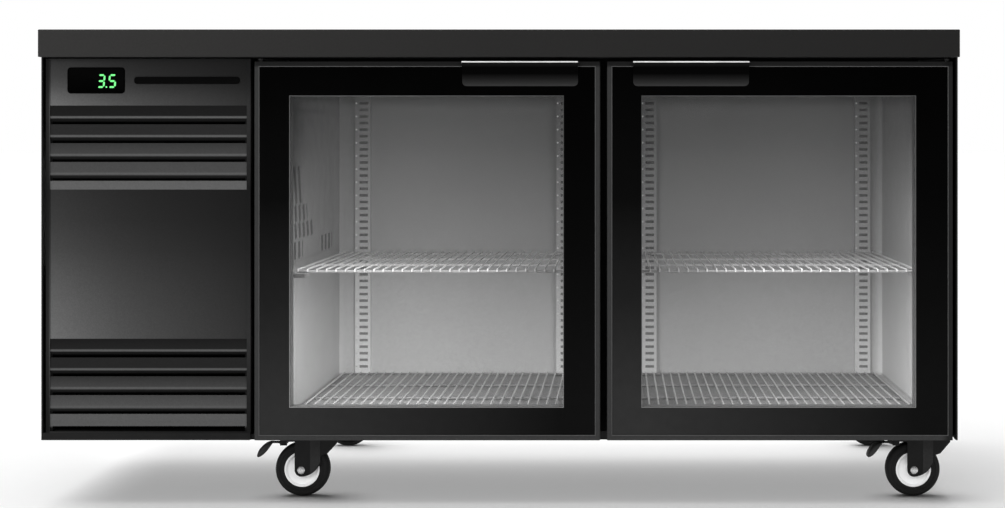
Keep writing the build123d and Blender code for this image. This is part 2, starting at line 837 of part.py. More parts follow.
condenser_fan = axial_fan(
    Plane(origin=condenser_fan_centre, x_dir=(1, 0, 0), z_dir=(0, -1, 0)),
    condenser_fan_radius,
    condenser_fan_hub,
    condenser_fan_blade,
    condenser_shaft_length,
)
condenser_fan.label = "condenser_fan"
export_step(condenser_fan, "parts/condenser_fan.step")

# Shallow tray on brackets above the compressor, where the defrost water evaporates
with BuildPart() as evaporating_tray:
    tray_floor = evaporating_tray_z[0] + tray_sheet
    block(evaporating_tray_x, evaporating_tray_y, evaporating_tray_z)
    block(
        grown(evaporating_tray_x, -tray_sheet),
        grown(evaporating_tray_y, -tray_sheet),
        (tray_floor, evaporating_tray_z[1]),
        mode=Mode.SUBTRACT,
    )
    left_leg_x = (evaporating_tray_x[0], evaporating_tray_x[0] + tray_sheet)
    right_leg_x = (evaporating_tray_x[1] - tray_sheet, evaporating_tray_x[1])
    for leg_x in (left_leg_x, right_leg_x):
        block(leg_x, evaporating_leg_y, (machine_floor, tray_floor))
evaporating_tray.part.label = "evaporating_tray"
export_step(evaporating_tray.part, "parts/evaporating_tray.step")

# Discharge, liquid and suction pipes; the liquid pipe carries the filter drier
discharge_route = [
    (compressor_x - compressor_radius, compressor_y, discharge_z[0]),
    (discharge_x, compressor_y, discharge_z[0]),
    (discharge_x, compressor_y, discharge_z[1]),
    (discharge_x, condenser_port_y, discharge_z[1]),
    (discharge_x, condenser_port_y, condenser_z[1]),
]
liquid_route = [
    (liquid_x, condenser_port_y, condenser_z[1]),
    (liquid_x, condenser_port_y, liquid_z),
    (liquid_x, liquid_port[0], liquid_z),
    (liquid_x, *liquid_port),
    (liner_recess_x[0], *liquid_port),
]
suction_route = [
    (liner_recess_x[0], *suction_port),
    (suction_x, *suction_port),
    (suction_x, compressor_y, suction_z),
    (compressor_x + compressor_radius, compressor_y, suction_z),
]

with BuildPart() as refrigerant_pipes:
    for route in (discharge_route, liquid_route, suction_route):
        with BuildLine() as pipe_line:
            FilletPolyline(*route, radius=pipe_bend)
        with BuildSketch(Plane(origin=pipe_line.line @ 0, z_dir=pipe_line.line % 0)):
            Circle(pipe_radius)
        sweep(path=pipe_line.line)
    drier_middle = (liquid_x, liquid_port[0], sum(drier_z) / 2)
    round_bar(drier_middle, drier_radius, drier_z[1] - drier_z[0])
refrigerant_pipes.part.label = "refrigerant_pipes"
export_step(refrigerant_pipes.part, "parts/refrigerant_pipes.step")

with BuildPart() as control_box:
    block(control_box_x, control_box_y, (control_box_bottom, worktop_bottom))
    fillet(control_box.edges().filter_by(Axis.Y), control_box_radius)
control_box.part.label = "control_box"
export_step(control_box.part, "parts/control_box.step")

# Mains inlet in the back, with its three contact blades
flange_width, flange_height, flange_depth = inlet_flange
socket_width, socket_height, socket_depth = inlet_socket
outer_inlet_plane = inlet_plane.offset(-flange_depth)
blade_plane = inlet_plane.offset(socket_depth - flange_depth)

with BuildPart() as power_inlet:
    with BuildSketch(outer_inlet_plane):
        RectangleRounded(
            inlet_size[0] + flange_width, inlet_size[1] + flange_height, flange_height / 2
        )
    extrude(amount=flange_depth)
    with BuildSketch(inlet_plane):
        Rectangle(inlet_size[0] - 2 * inlet_fit, inlet_size[1] - 2 * inlet_fit)
    extrude(amount=inlet_depth)
    with BuildSketch(outer_inlet_plane):
        RectangleRounded(socket_width, socket_height, socket_height / 6)
    extrude(amount=socket_depth, mode=Mode.SUBTRACT)
    with BuildSketch(blade_plane):
        with GridLocations(inlet_blade_pitch, 1, 3, 1):
            Rectangle(*inlet_blade)
    extrude(amount=flange_depth - socket_depth)
power_inlet.part.label = "power_inlet"
export_step(power_inlet.part, "parts/power_inlet.step")

# ---------------------------------------------------------------------------------------------
# Machine compartment front panel
# ---------------------------------------------------------------------------------------------

field_front = door_front + panel_field_inset
field_back = field_front + sheet
field_x = grown(panel_x, -panel_strip)
display_middle = (sum(display_x) / 2, sum(display_z) / 2)
display_size = (display_x[1] - display_x[0], display_z[1] - display_z[0])
display_plane = Plane(
    origin=(display_middle[0], field_front, display_middle[1]), x_dir=(1, 0, 0), z_dir=(0, -1, 0)
)

# Rim, with a sheet set back inside it and openings for the display and the two louvre inserts
field_z = (panel_z[0] + panel_rim[0], panel_z[1] - panel_rim[1])

with BuildPart() as service_panel:
    block(panel_x, (door_front, door_front + panel_return), panel_z)
    block(field_x, (door_front, door_front + panel_return), field_z, mode=Mode.SUBTRACT)
    block(field_x, (field_front, field_back), field_z)
    for louvre_z in (upper_louvre_z, lower_louvre_z):
        block(field_x, (field_front, field_back), louvre_z, mode=Mode.SUBTRACT)
    with BuildSketch(display_plane):
        RectangleRounded(*display_size, display_corner_radius)
    extrude(amount=-sheet, mode=Mode.SUBTRACT)
service_panel.part.label = "service_panel"
export_step(service_panel.part, "parts/service_panel.step")


def louvre_insert(louvre_z, count):
    """Flat bands whose lower edges roll back into the slots, joined by a strap at each end."""
    roll_back = field_front + louvre_reach
    band_height = louvre_pitch - louvre_slot
    with BuildPart() as insert:
        for index in range(count):
            band_top = louvre_z[1] - index * louvre_pitch
            band_bottom = max(band_top - band_height, louvre_z[0])
            block(field_x, (field_front, field_back), (band_bottom, band_top))
            if band_bottom - louvre_reach < louvre_z[0]:
                continue
            with BuildSketch(Plane.YZ.offset(field_x[0])):
                with BuildLine():
                    CenterArc((roll_back, band_bottom), louvre_reach, 180, 90)
                    Line((roll_back, band_bottom - louvre_reach),
                         (roll_back, band_bottom - louvre_reach + sheet))
                    CenterArc((roll_back, band_bottom), louvre_reach - sheet, 180, 90)
                    Line((field_front, band_bottom), (field_back, band_bottom))
                make_face()
            extrude(amount=field_x[1] - field_x[0])
        left_strap_x = (field_x[0], field_x[0] + louvre_strap)
        right_strap_x = (field_x[1] - louvre_strap, field_x[1])
        for strap_x in (left_strap_x, right_strap_x):
            block(strap_x, (field_back, roll_back), louvre_z)
    return insert.part


upper_insert = louvre_insert(upper_louvre_z, upper_louvre_count)
lower_insert = louvre_insert(lower_louvre_z, lower_louvre_count)

with BuildPart() as louvre_inserts:
    add(upper_insert)
    add(lower_insert)
louvre_inserts.part.label = "louvre_inserts"
export_step(louvre_inserts.part, "parts/louvre_inserts.step")

with BuildPart() as display_module:
    with BuildSketch(display_plane):
        RectangleRounded(*display_size, display_corner_radius)
    extrude(amount=-sheet)
    block(
        grown(display_x, display_margin),
        (field_back, field_back + display_depth),
        grown(display_z, display_margin),
    )
display_module.part.label = "display_module"
export_step(display_module.part, "parts/display_module.step")

# ---------------------------------------------------------------------------------------------
# Doors
# ---------------------------------------------------------------------------------------------


def ring(outer_x, outer_z, inner_x, inner_z, y):
    """Rectangular ring between two sets of X and Z limits."""
    block(outer_x, y, outer_z)
    block(inner_x, y, inner_z, mode=Mode.SUBTRACT)


def door_parts(side_name, door_x, window_x, pivot_x, handle_x):
    """Write the six pieces of one door."""
    door_z = (door_bottom, door_top)
    opening_x = grown(window_x, spacer_width)
    opening_z = grown(window_z, spacer_width)
    glazing_x = grown(window_x, inner_glass_margin)
    glazing_z = grown(window_z, inner_glass_margin)
    outer_glass_x = grown(door_x, -door_strip)
    outer_glass_z = grown(door_z, -door_strip)

    # Frame: both glasses sit in rebates, and the foot is cut away behind the front skirt
    with BuildPart() as door_frame:
        block(door_x, (door_front, door_back), door_z)
        front_corners = door_frame.edges().filter_by(Axis.Z).group_by(Axis.Y)[0]
        fillet(front_corners, door_edge_radius)
        block(opening_x, (door_front, door_back), opening_z, mode=Mode.SUBTRACT)
        block(outer_glass_x, (door_front, glass_back), outer_glass_z, mode=Mode.SUBTRACT)
        block(glazing_x, (inner_glass_front, door_back), glazing_z, mode=Mode.SUBTRACT)
        block(
            door_x,
            (door_front + door_skirt, door_back),
            (door_bottom, door_body_bottom),
            mode=Mode.SUBTRACT,
        )
        hole_length = pin_length + pin_hole_end_gap
        for hole_z in (door_body_bottom + hole_length / 2, door_top - hole_length / 2):
            round_bar((pivot_x, pivot_y, hole_z), pin_radius + pin_clearance, hole_length,
                      mode=Mode.SUBTRACT)
    door_frame.part.label = f"{side_name}_door_frame"
    export_step(door_frame.part, f"parts/{side_name}_door_frame.step")

    with BuildPart() as outer_glass:
        block(outer_glass_x, (glass_front, glass_back), outer_glass_z)
    outer_glass.part.label = f"{side_name}_outer_glass"
    export_step(outer_glass.part, f"parts/{side_name}_outer_glass.step")

    with BuildPart() as inner_glass:
        block(glazing_x, (inner_glass_front, inner_glass_front + glass_thickness), glazing_z)
    inner_glass.part.label = f"{side_name}_inner_glass"
    export_step(inner_glass.part, f"parts/{side_name}_inner_glass.step")

    with BuildPart() as spacer:
        ring(opening_x, opening_z, window_x, window_z, (glass_back, inner_glass_front))
    spacer.part.label = f"{side_name}_glass_spacer"
    export_step(spacer.part, f"parts/{side_name}_glass_spacer.step")

    gasket_x = grown(door_x, -gasket_inset)
    with BuildPart() as gasket:
        ring(
            gasket_x,
            gasket_z,
            grown(gasket_x, -gasket_width),
            grown(gasket_z, -gasket_width),
            (door_back, frame_front - gasket_gap),
        )
    gasket.part.label = f"{side_name}_door_gasket"
    export_step(gasket.part, f"parts/{side_name}_door_gasket.step")

    # Pull handle: a hollowed front that ends in a lip along its top
    handle_bottom = door_top - handle_height
    lip_setback, lip_chamfer, lip_height = handle_lip
    hollow_y = door_front - handle_hollow[0]
    hollow_z = door_top - handle_hollow[1]
    foot_y = door_front - handle_foot
    pad_side, pad_bottom = handle_pad_margin
    with BuildPart() as handle:
        with BuildSketch(Plane.YZ.offset(handle_x)):
            with BuildLine():
                Polyline(
                    (door_front, handle_bottom),
                    (door_front, door_top),
                    (front + lip_setback, door_top),
                    (front, door_top - lip_chamfer),
                    (front, door_top - lip_height),
                )
                ThreePointArc(
                    (front, door_top - lip_height), (hollow_y, hollow_z), (foot_y, handle_bottom)
                )
                Line((foot_y, handle_bottom), (door_front, handle_bottom))
            make_face()
        extrude(amount=handle_width)
        lower_corners = handle.edges().filter_by(Axis.Y).group_by(Axis.Z)[0]
        fillet(lower_corners, handle_corner_radius)
        # Pad that fills the step between the handle and the set-back glass
        block(
            (handle_x + pad_side, handle_x + handle_width - pad_side),
            (door_front, glass_front),
            (handle_bottom + pad_bottom, door_top - door_strip),
        )
    handle.part.label = f"{side_name}_door_handle"
    export_step(handle.part, f"parts/{side_name}_door_handle.step")


door_parts("left", left_door_x, left_window_x, hinge_pivots[0][0], left_handle_x)
door_parts("right", right_door_x, right_window_x, hinge_pivots[1][0], right_handle_x)

# ---------------------------------------------------------------------------------------------
# Castors
# ---------------------------------------------------------------------------------------------

plate_length, plate_width, plate_thickness = castor_plate
plate_bottom = pan_bottom - plate_thickness
bolt_head_radius, bolt_head_height = bolt_head
cup_bottom = race_top + running_gap

with BuildPart() as castor_plates:
    for x, y in castor_places:
        with BuildSketch(Plane.XY.offset(plate_bottom)):
            with Locations((x, y)):
                RectangleRounded(plate_length, plate_width, castor_plate_corner)
                Circle(kingpin_radius + pin_clearance, mode=Mode.SUBTRACT)
                with GridLocations(*castor_bolt_spacing, 2, 2):
                    Circle(castor_bolt_radius, mode=Mode.SUBTRACT)
        extrude(amount=plate_thickness)
        with BuildSketch(Plane.XY.offset(cup_bottom)):
            with Locations((x, y)):
                Circle(race_radius + cup_margin)
                Circle(kingpin_radius + pin_clearance, mode=Mode.SUBTRACT)
        extrude(amount=plate_bottom - cup_bottom)
castor_plates.part.label = "castor_plates"
export_step(castor_plates.part, "parts/castor_plates.step")

with BuildPart() as castor_bolts:
    for x, y in castor_places:
        with BuildSketch(Plane.XY.offset(plate_bottom - bolt_head_height)):
            with Locations((x, y)):
                with GridLocations(*castor_bolt_spacing, 2, 2):
                    RegularPolygon(bolt_head_radius, 6, major_radius=False)
        extrude(amount=bolt_head_height)
        with BuildSketch(Plane.XY.offset(plate_bottom)):
            with Locations((x, y)):
                with GridLocations(*castor_bolt_spacing, 2, 2):
                    Circle(castor_bolt_radius - bolt_clearance)
        extrude(amount=plate_thickness + pan_thickness)
castor_bolts.part.label = "castor_bolts"
export_step(castor_bolts.part, "parts/castor_bolts.step")

# The parts below are built once, about the swivel axis at X = Y = 0, then copied to each place
axle_z = wheel_radius
crown_top = crown_z[1]
crown_left = -trail - leg_end_radius
kingpin_top = pan_bottom - kingpin_gap
fork_outer = fork_inner + fork_sheet
axle_point = (-trail, axle_z)
leg_foot = (-trail, axle_z - leg_end_radius)

with BuildPart() as castor_fork:
    for side in (-1, 1):
        leg_y = fork_outer if side > 0 else -fork_inner
        with BuildSketch(Plane.XZ.offset(-leg_y)):
            with BuildLine():
                Polyline(
                    (crown_left, axle_z),
                    (crown_left, ear_strip_bottom),
                    (ear_x[1], ear_strip_bottom),
                    (ear_x[1], ear_bottom),
                    (ear_x[0], ear_bottom),
                    (ear_x[0], crown_top),
                    (crown_right, crown_top),
                    *crown_slope,
                    (leg_right, leg_shoulder),
                )
                RadiusArc((leg_right, leg_shoulder), leg_foot, leg_arc_radius)
                RadiusArc(leg_foot, (crown_left, axle_z), leg_end_radius)
            make_face()
        extrude(amount=fork_sheet)
    block((crown_left, crown_right), (-fork_outer, fork_outer), crown_z)
    round_bar((0, 0, (crown_top + race_top) / 2), race_radius, race_top - crown_top)
    round_bar((0, 0, (crown_top + kingpin_top) / 2), kingpin_radius, kingpin_top - crown_top)
    round_bar((-trail, 0, axle_z), axle_radius, 2 * fork_outer, "Y")
    with BuildSketch(Plane.XZ.offset(fork_outer)):
        with Locations(axle_point):
            Circle(axle_head[0])
    extrude(amount=axle_head[1])
    with BuildSketch(Plane.XZ.offset(-fork_outer)):
        with Locations(axle_point):
            RegularPolygon(axle_nut[0], 6)
    extrude(amount=-axle_nut[1])
    round_bar((pedal_pivot[0], 0, pedal_pivot[1]), pedal_pin_radius, 2 * fork_outer, "Y")

groove_inner, groove_outer, groove_depth = hub_groove

with BuildPart() as castor_hub:
    round_bar((-trail, 0, axle_z), hub_radius, hub_width, "Y")
    for groove_start in (-hub_width / 2, hub_width / 2 - groove_depth):
        with BuildSketch(Plane.XZ.offset(groove_start)):
            with Locations(axle_point):
                Circle(groove_outer)
                Circle(groove_inner, mode=Mode.SUBTRACT)
        extrude(amount=groove_depth, mode=Mode.SUBTRACT)
    round_bar((-trail, 0, axle_z), axle_radius + pin_clearance, hub_width, "Y", mode=Mode.SUBTRACT)

with BuildPart() as castor_tyre:
    round_bar((-trail, 0, axle_z), wheel_radius, wheel_width, "Y")
    fillet(castor_tyre.edges().filter_by(GeomType.CIRCLE), tyre_shoulder)
    round_bar((-trail, 0, axle_z), hub_radius, wheel_width, "Y", mode=Mode.SUBTRACT)

pedal_x, pedal_z = pedal_pivot

# Thin arm out to the left, then a drooping paddle
with BuildPart() as castor_pedal:
    with BuildSketch(Plane.XZ.offset(-pedal_half_width)):
        with BuildLine():
            Polyline(*[(pedal_x + a, pedal_z + b) for a, b in pedal_outline], close=True)
        make_face()
        with Locations(pedal_pivot):
            Circle(pedal_boss_radius)
            Circle(pedal_pin_radius + pin_clearance, mode=Mode.SUBTRACT)
    extrude(amount=2 * pedal_half_width)

for (x, y), castor_name in zip(castor_places, castor_names):
    place = Location((x, y, 0))
    pieces = {"fork": castor_fork, "hub": castor_hub, "tyre": castor_tyre}
    if "front" in castor_name:
        pieces["brake_pedal"] = castor_pedal
    for piece_name, piece in pieces.items():
        placed = piece.part.moved(place)
        placed.label = f"{castor_name}_{piece_name}"
        export_step(placed, f"parts/{placed.label}.step")
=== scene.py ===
import json
from math import cos, pi, radians, sin

import bmesh
import bpy
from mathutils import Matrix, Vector

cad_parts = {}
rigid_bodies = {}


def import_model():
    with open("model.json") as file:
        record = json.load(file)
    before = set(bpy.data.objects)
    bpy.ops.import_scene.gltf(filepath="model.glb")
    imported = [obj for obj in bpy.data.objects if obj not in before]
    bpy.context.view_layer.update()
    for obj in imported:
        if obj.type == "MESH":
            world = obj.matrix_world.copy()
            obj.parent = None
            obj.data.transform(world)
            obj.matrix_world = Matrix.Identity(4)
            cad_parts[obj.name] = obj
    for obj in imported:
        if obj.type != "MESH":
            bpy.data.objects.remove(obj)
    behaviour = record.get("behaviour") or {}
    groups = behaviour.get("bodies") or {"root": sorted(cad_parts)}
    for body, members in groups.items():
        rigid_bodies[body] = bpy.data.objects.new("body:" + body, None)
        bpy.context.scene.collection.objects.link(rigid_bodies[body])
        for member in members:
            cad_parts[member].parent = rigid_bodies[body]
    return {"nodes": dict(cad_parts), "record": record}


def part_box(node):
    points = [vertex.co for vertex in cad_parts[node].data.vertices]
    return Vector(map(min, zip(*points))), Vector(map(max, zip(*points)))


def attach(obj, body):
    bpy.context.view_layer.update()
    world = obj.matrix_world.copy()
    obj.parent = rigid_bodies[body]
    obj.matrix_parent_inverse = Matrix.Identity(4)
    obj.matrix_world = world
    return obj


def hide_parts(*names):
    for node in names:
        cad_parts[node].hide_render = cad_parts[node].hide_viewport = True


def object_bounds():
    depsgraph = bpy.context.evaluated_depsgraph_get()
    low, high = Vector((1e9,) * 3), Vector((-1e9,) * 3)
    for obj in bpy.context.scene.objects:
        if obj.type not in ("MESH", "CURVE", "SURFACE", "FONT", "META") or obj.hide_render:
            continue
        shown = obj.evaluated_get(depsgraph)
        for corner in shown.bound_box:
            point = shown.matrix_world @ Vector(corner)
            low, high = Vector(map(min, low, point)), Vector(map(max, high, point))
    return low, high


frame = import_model()
cad_low, cad_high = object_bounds()
nodes = frame["nodes"]

MM = 0.001
WELD = 0.001 * MM
BEVEL_ANGLE = radians(40)
SIDES = ("left", "right")
ENDS = ("front", "rear")


# ---------------------------------------------------------------------------------------------
# Mesh building
# ---------------------------------------------------------------------------------------------


class Shape:
    """Points and faces of one piece, with a paint number for each face."""

    def __init__(self):
        self.points = []
        self.faces = []
        self.paints = []

    def add(self, points, faces, paint=0):
        first = len(self.points)
        self.points.extend(Vector(p) for p in points)
        for face in faces:
            self.faces.append([first + index for index in face])
            self.paints.append(paint)

    def loft(self, rings, paint=0, closed=False, capped=True):
        """Skin over rings of equally many points; closed joins the last ring to the first."""
        count = len(rings[0])
        points = [p for ring in rings for p in ring]
        faces = []
        last = len(rings) if closed else len(rings) - 1
        for a in range(last):
            b = (a + 1) % len(rings)
            for i in range(count):
                j = (i + 1) % count
                faces.append((a * count + i, a * count + j, b * count + j, b * count + i))
        if capped and not closed:
            faces.append(tuple(range(count)))
            end = (len(rings) - 1) * count
            faces.append(tuple(range(end, end + count)))
        self.add(points, faces, paint)

    def box(self, x, y, z, paint=0):
        rings = [
            [(at, y[0], z[0]), (at, y[1], z[0]), (at, y[1], z[1]), (at, y[0], z[1])] for at in x
        ]
        self.loft(rings, paint)

    def prism(self, outline, low, high, axis="Y", paint=0):
        """Outline of (a, b) pairs, extruded along an axis between two levels."""
        self.loft([[place(a, b, level, axis) for a, b in outline] for level in (low, high)], paint)

    def tube(self, path, radius, sides=10, closed=False, paint=0):
        path = [Vector(p) for p in path]
        count = len(path)
        normal = None
        rings = []
        for i, point in enumerate(path):
            before = path[i - 1] if closed or i > 0 else point
            after = path[(i + 1) % count] if closed or i < count - 1 else point
            along = (after - before).normalized()
            if normal is None:
                normal = along.orthogonal().normalized()
            normal = (normal - along * normal.dot(along)).normalized()
            across = along.cross(normal)
            rings.append([
                point + radius * (normal * cos(2 * pi * s / sides) + across * sin(2 * pi * s / sides))
                for s in range(sides)
            ])
        self.loft(rings, paint, closed)

    def lathe(self, profile, centre, axis="Y", steps=64, paint=0):
        """Closed profile of (radius, level) pairs turned about an axis through a centre."""
        centre = Vector(centre)
        rings = []
        for s in range(steps):
            turn = 2 * pi * s / steps
            rings.append([
                centre + place(r * cos(turn), r * sin(turn), level, axis) for r, level in profile
            ])
        self.loft(rings, paint, closed=True)

    def frame_ring(self, section, x, z, paint=0):
        """Mitred rectangular frame: section is (inset, y) pairs, inset from the X and Z limits."""
        rings = []
        for i, k in ((0, 0), (1, 0), (1, 1), (0, 1)):
            towards = (1 if i == 0 else -1, 1 if k == 0 else -1)
            rings.append([
                (x[i] + towards[0] * inset, y, z[k] + towards[1] * inset) for inset, y in section
            ])
        self.loft(rings, paint, closed=True)

    def build(self, name, body, materials, replaces=(), bevel=0.0, sharp=35.0):
        """Makes the piece, smooth except at edges sharper than an angle, and rides it on a body."""
        mesh = bpy.data.meshes.new(name)
        mesh.from_pydata([tuple(p) for p in self.points], [], self.faces)
        mesh.update()
        work = bmesh.new()
        work.from_mesh(mesh)
        for face, paint in zip(work.faces, self.paints):
            face.material_index = paint
            face.smooth = True
        bmesh.ops.remove_doubles(work, verts=work.verts, dist=WELD)
        bmesh.ops.recalc_face_normals(work, faces=work.faces)
        work.to_mesh(mesh)
        work.free()
        for material in materials if isinstance(materials, (list, tuple)) else [materials]:
            mesh.materials.append(material)
        mesh.set_sharp_from_angle(angle=radians(sharp))
        piece = bpy.data.objects.new(name, mesh)
        bpy.context.scene.collection.objects.link(piece)
        if bevel:
            edge = piece.modifiers.new("edge", "BEVEL")
            edge.width = bevel
            edge.segments = 2
            edge.limit_method = "ANGLE"
            edge.angle_limit = BEVEL_ANGLE
            edge.harden_normals = True
        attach(piece, body)
        if replaces:
            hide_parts(*replaces)
        return piece


def place(a, b, level, axis):
    """Point with its two in-plane coordinates and its level along an axis."""
    return Vector({"X": (level, a, b), "Y": (a, level, b), "Z": (a, b, level)}[axis])


def rounded(x, z, radius, steps=6):
    """Outline of a rectangle with round corners."""
    outline = []
    corners = ((x[1] - radius, z[1] - radius, 0), (x[0] + radius, z[1] - radius, 90),
               (x[0] + radius, z[0] + radius, 180), (x[1] - radius, z[0] + radius, 270))
    for cx, cz, start in corners:
        for s in range(steps + 1):
            turn = radians(start + 90 * s / steps)
            outline.append((cx + radius * cos(turn), cz + radius * sin(turn)))
    return outline


def circle(centre, radius, count):
    """Outline of equally spaced points about a centre."""
    turns = [radians(360 / count * index) for index in range(count)]
    return [(centre[0] + radius * cos(turn), centre[1] + radius * sin(turn)) for turn in turns]


def limits(node, axis):
    low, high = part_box(node)
    index = "XYZ".index(axis)
    return low[index], high[index]


def inset(pair, amount):
    return pair[0] + amount, pair[1] - amount


def scaled(pairs):
    """Pairs given in millimetres, in metres."""
    return [(a * MM, b * MM) for a, b in pairs]


def middle(pair):
    return (pair[0] + pair[1]) / 2


# ---------------------------------------------------------------------------------------------
# Materials
# ---------------------------------------------------------------------------------------------


def grey(level, warmth=0.0):
    """Linear colour of a screen grey from 0 to 255."""
    linear = ((level / 255 + 0.055) / 1.055) ** 2.4 if level > 10 else level / 255 / 12.92
    return (linear * (1 + warmth), linear, linear * (1 - warmth), 1)


def even(share):
    """The same share of red, green and blue."""
    return (share, share, share, 1)


class Finish:
    """A procedural material, built node by node."""

    def __init__(self, name, roughness=0.5, metallic=0.0, **sockets):
        self.material = bpy.data.materials.new(name)
        self.material.use_nodes = True
        self.tree = self.material.node_tree
        self.shader = self.tree.nodes["Principled BSDF"]
        self.shader.inputs["Roughness"].default_value = roughness
        self.shader.inputs["Metallic"].default_value = metallic
        for socket, value in sockets.items():
            self.shader.inputs[socket.replace("_", " ")].default_value = value
        self.coords = self.node("ShaderNodeTexCoord").outputs["Object"]

    def node(self, kind, inputs=None, **settings):
        made = self.tree.nodes.new(kind)
        for key, value in settings.items():
            setattr(made, key, value)
        for key, value in (inputs or {}).items():
            if isinstance(value, bpy.types.NodeSocket):
                self.tree.links.new(value, made.inputs[key])
            else:
                made.inputs[key].default_value = value
        return made

    def put(self, output, socket):
        self.tree.links.new(output, self.shader.inputs[socket])
        return self

    def noise(self, scale, detail=3.0, stretch=(1, 1, 1)):
        mapped = self.node("ShaderNodeMapping", {"Vector": self.coords, "Scale": stretch})
        made = self.node(
            "ShaderNodeTexNoise",
            {"Vector": mapped.outputs["Vector"], "Scale": scale, "Detail": detail},
        )
        return made.outputs["Fac"]

    def ramp(self, factor, stops):
        """Colour at a factor between stops of (position, colour), given in rising order."""
        made = self.node("ShaderNodeValToRGB", {"Fac": factor})
        elements = made.color_ramp.elements
        elements.remove(elements[1])
        elements[0].position, elements[0].color = stops[0]
        for position, colour in stops[1:]:
            elements.new(position).color = colour
        return made.outputs["Color"]

    def along(self, axis, start, end):
        split = self.node("ShaderNodeSeparateXYZ", {"Vector": self.coords})
        made = self.node(
            "ShaderNodeMapRange", {"Value": split.outputs[axis], "From Min": start, "From Max": end}
        )
        return made.outputs["Result"]

    def math(self, operation, a, b):
        return self.node("ShaderNodeMath", {0: a, 1: b}, operation=operation).outputs[0]

    def mix(self, factor, a, b, blend="MIX"):
        made = self.node(
            "ShaderNodeMix", {0: factor, 6: a, 7: b}, data_type="RGBA", blend_type=blend
        )
        return made.outputs[2]

    def speckled(self, colour, scale=220.0, amount=0.18, stretch=(1, 1, 1)):
        """Multiplies a colour by a fine tone variation, and sends it to the base colour."""
        stops = [(0.3, even(1 - amount)), (0.7, even(1 + amount))]
        tone = self.ramp(self.noise(scale, 4.0, stretch), stops)
        return self.put(self.mix(1.0, colour, tone, "MULTIPLY"), "Base Color")

    def worn(self, low, high, scale=30.0, stretch=(1, 1, 1)):
        """Roughness that varies between two values."""
        made = self.node(
            "ShaderNodeMapRange",
            {"Value": self.noise(scale, 5.0, stretch), "From Min": 0.3, "From Max": 0.7,
             "To Min": low, "To Max": high},
        )
        return self.put(made.outputs["Result"], "Roughness")

    def bumped(self, scale, strength, distance=0.0004, stretch=(1, 1, 1)):
        made = self.node(
            "ShaderNodeBump",
            {"Height": self.noise(scale, 2.0, stretch), "Strength": strength, "Distance": distance},
        )
        return self.put(made.outputs["Normal"], "Normal")


def plain(name, level, roughness=(0.4, 0.55), metallic=0.0, warmth=0.0, scale=220.0, amount=0.15,
          bump=(900.0, 0.15), stretch=(1, 1, 1), **sockets):
    """Finish of one colour with tone, roughness and bump variation."""
    made = Finish(name, metallic=metallic, **sockets)
    cloudy = [(0.3, grey(level * 0.93, warmth)), (0.7, grey(level * 1.06, warmth))]
    colour = made.ramp(made.noise(6.0, 2.0), cloudy)
    made.speckled(colour, scale, amount, stretch)
    made.worn(*roughness, stretch=stretch)
    made.bumped(bump[0], bump[1], stretch=stretch)
    return made.material


def painted_shade_front_coat(name, areas, x_limits, x_tones, roughness):
    """Satin coat with painted shading: its tone falls from left to right and changes with height, area by
    area.
    """
    made = Finish(name, Specular_IOR_Level=0.15)
    bottom, top = limits("service_panel", "Z")
    height = made.along("Z", bottom, top)
    stops = [((z * MM - bottom) / (top - bottom), grey(level)) for z, level in areas]
    tone = made.ramp(height, stops)
    across = made.ramp(made.along("X", *x_limits), [(p, grey(v)) for p, v in x_tones])
    made.speckled(made.mix(1.0, tone, across, "MULTIPLY"), 400.0, 0.1)
    made.worn(*roughness, 12.0)
    made.bumped(1400.0, 0.12, 0.0002)
    return made.material


def painted_band_coat(name):
    """Louvre bands with painted shading, each lighter than the one above, with a painted highlight line and
    then painted shade where each band rolls under.
    """
    made = Finish(name, Specular_IOR_Level=0.1)
    panel = limits("service_panel", "Z")
    stops = []
    for top, tones in PAINTED_BAND_TONES:
        for index, (upper_tone, lower_tone) in enumerate(tones):
            band_top = top - index * BAND_PITCH
            stops.append((band_top - 0.05 * BAND_PITCH, upper_tone))
            stops.append((band_top - 0.6 * BAND_PITCH, lower_tone))
    stops = sorted(((z * MM - panel[0]) / (panel[1] - panel[0]), grey(tone)) for z, tone in stops)
    face = made.ramp(made.along("Z", *panel), stops)
    z = made.node("ShaderNodeSeparateXYZ", {"Vector": made.coords}).outputs["Z"]
    tops = [top * MM for top, _ in PAINTED_BAND_TONES]
    upper = made.math("GREATER_THAN", z, middle(tops))
    top = made.math("ADD", made.math("MULTIPLY", upper, tops[0] - tops[1]), tops[1])
    share = made.math("FRACT", made.math("DIVIDE", made.math("SUBTRACT", top, z), BAND_PITCH * MM), 0.0)
    # painted highlight: a light line across each band
    line = made.ramp(
        share, [(0.54, grey(0)), (0.59, grey(255)), (0.66, grey(255)), (0.7, grey(0))]
    )
    # painted shade where each band rolls under
    shade = made.ramp(share, [(0.66, grey(255)), (0.74, grey(80)), (0.98, grey(20))])
    # the painted highlight line is laid over the painted band tones
    lit = made.mix(line, face, grey(78))
    made.speckled(made.mix(1.0, lit, shade, "MULTIPLY"), 400.0, 0.08)
    made.worn(0.4, 0.52, 12.0)
    made.bumped(1400.0, 0.12, 0.0002)
    return made.material


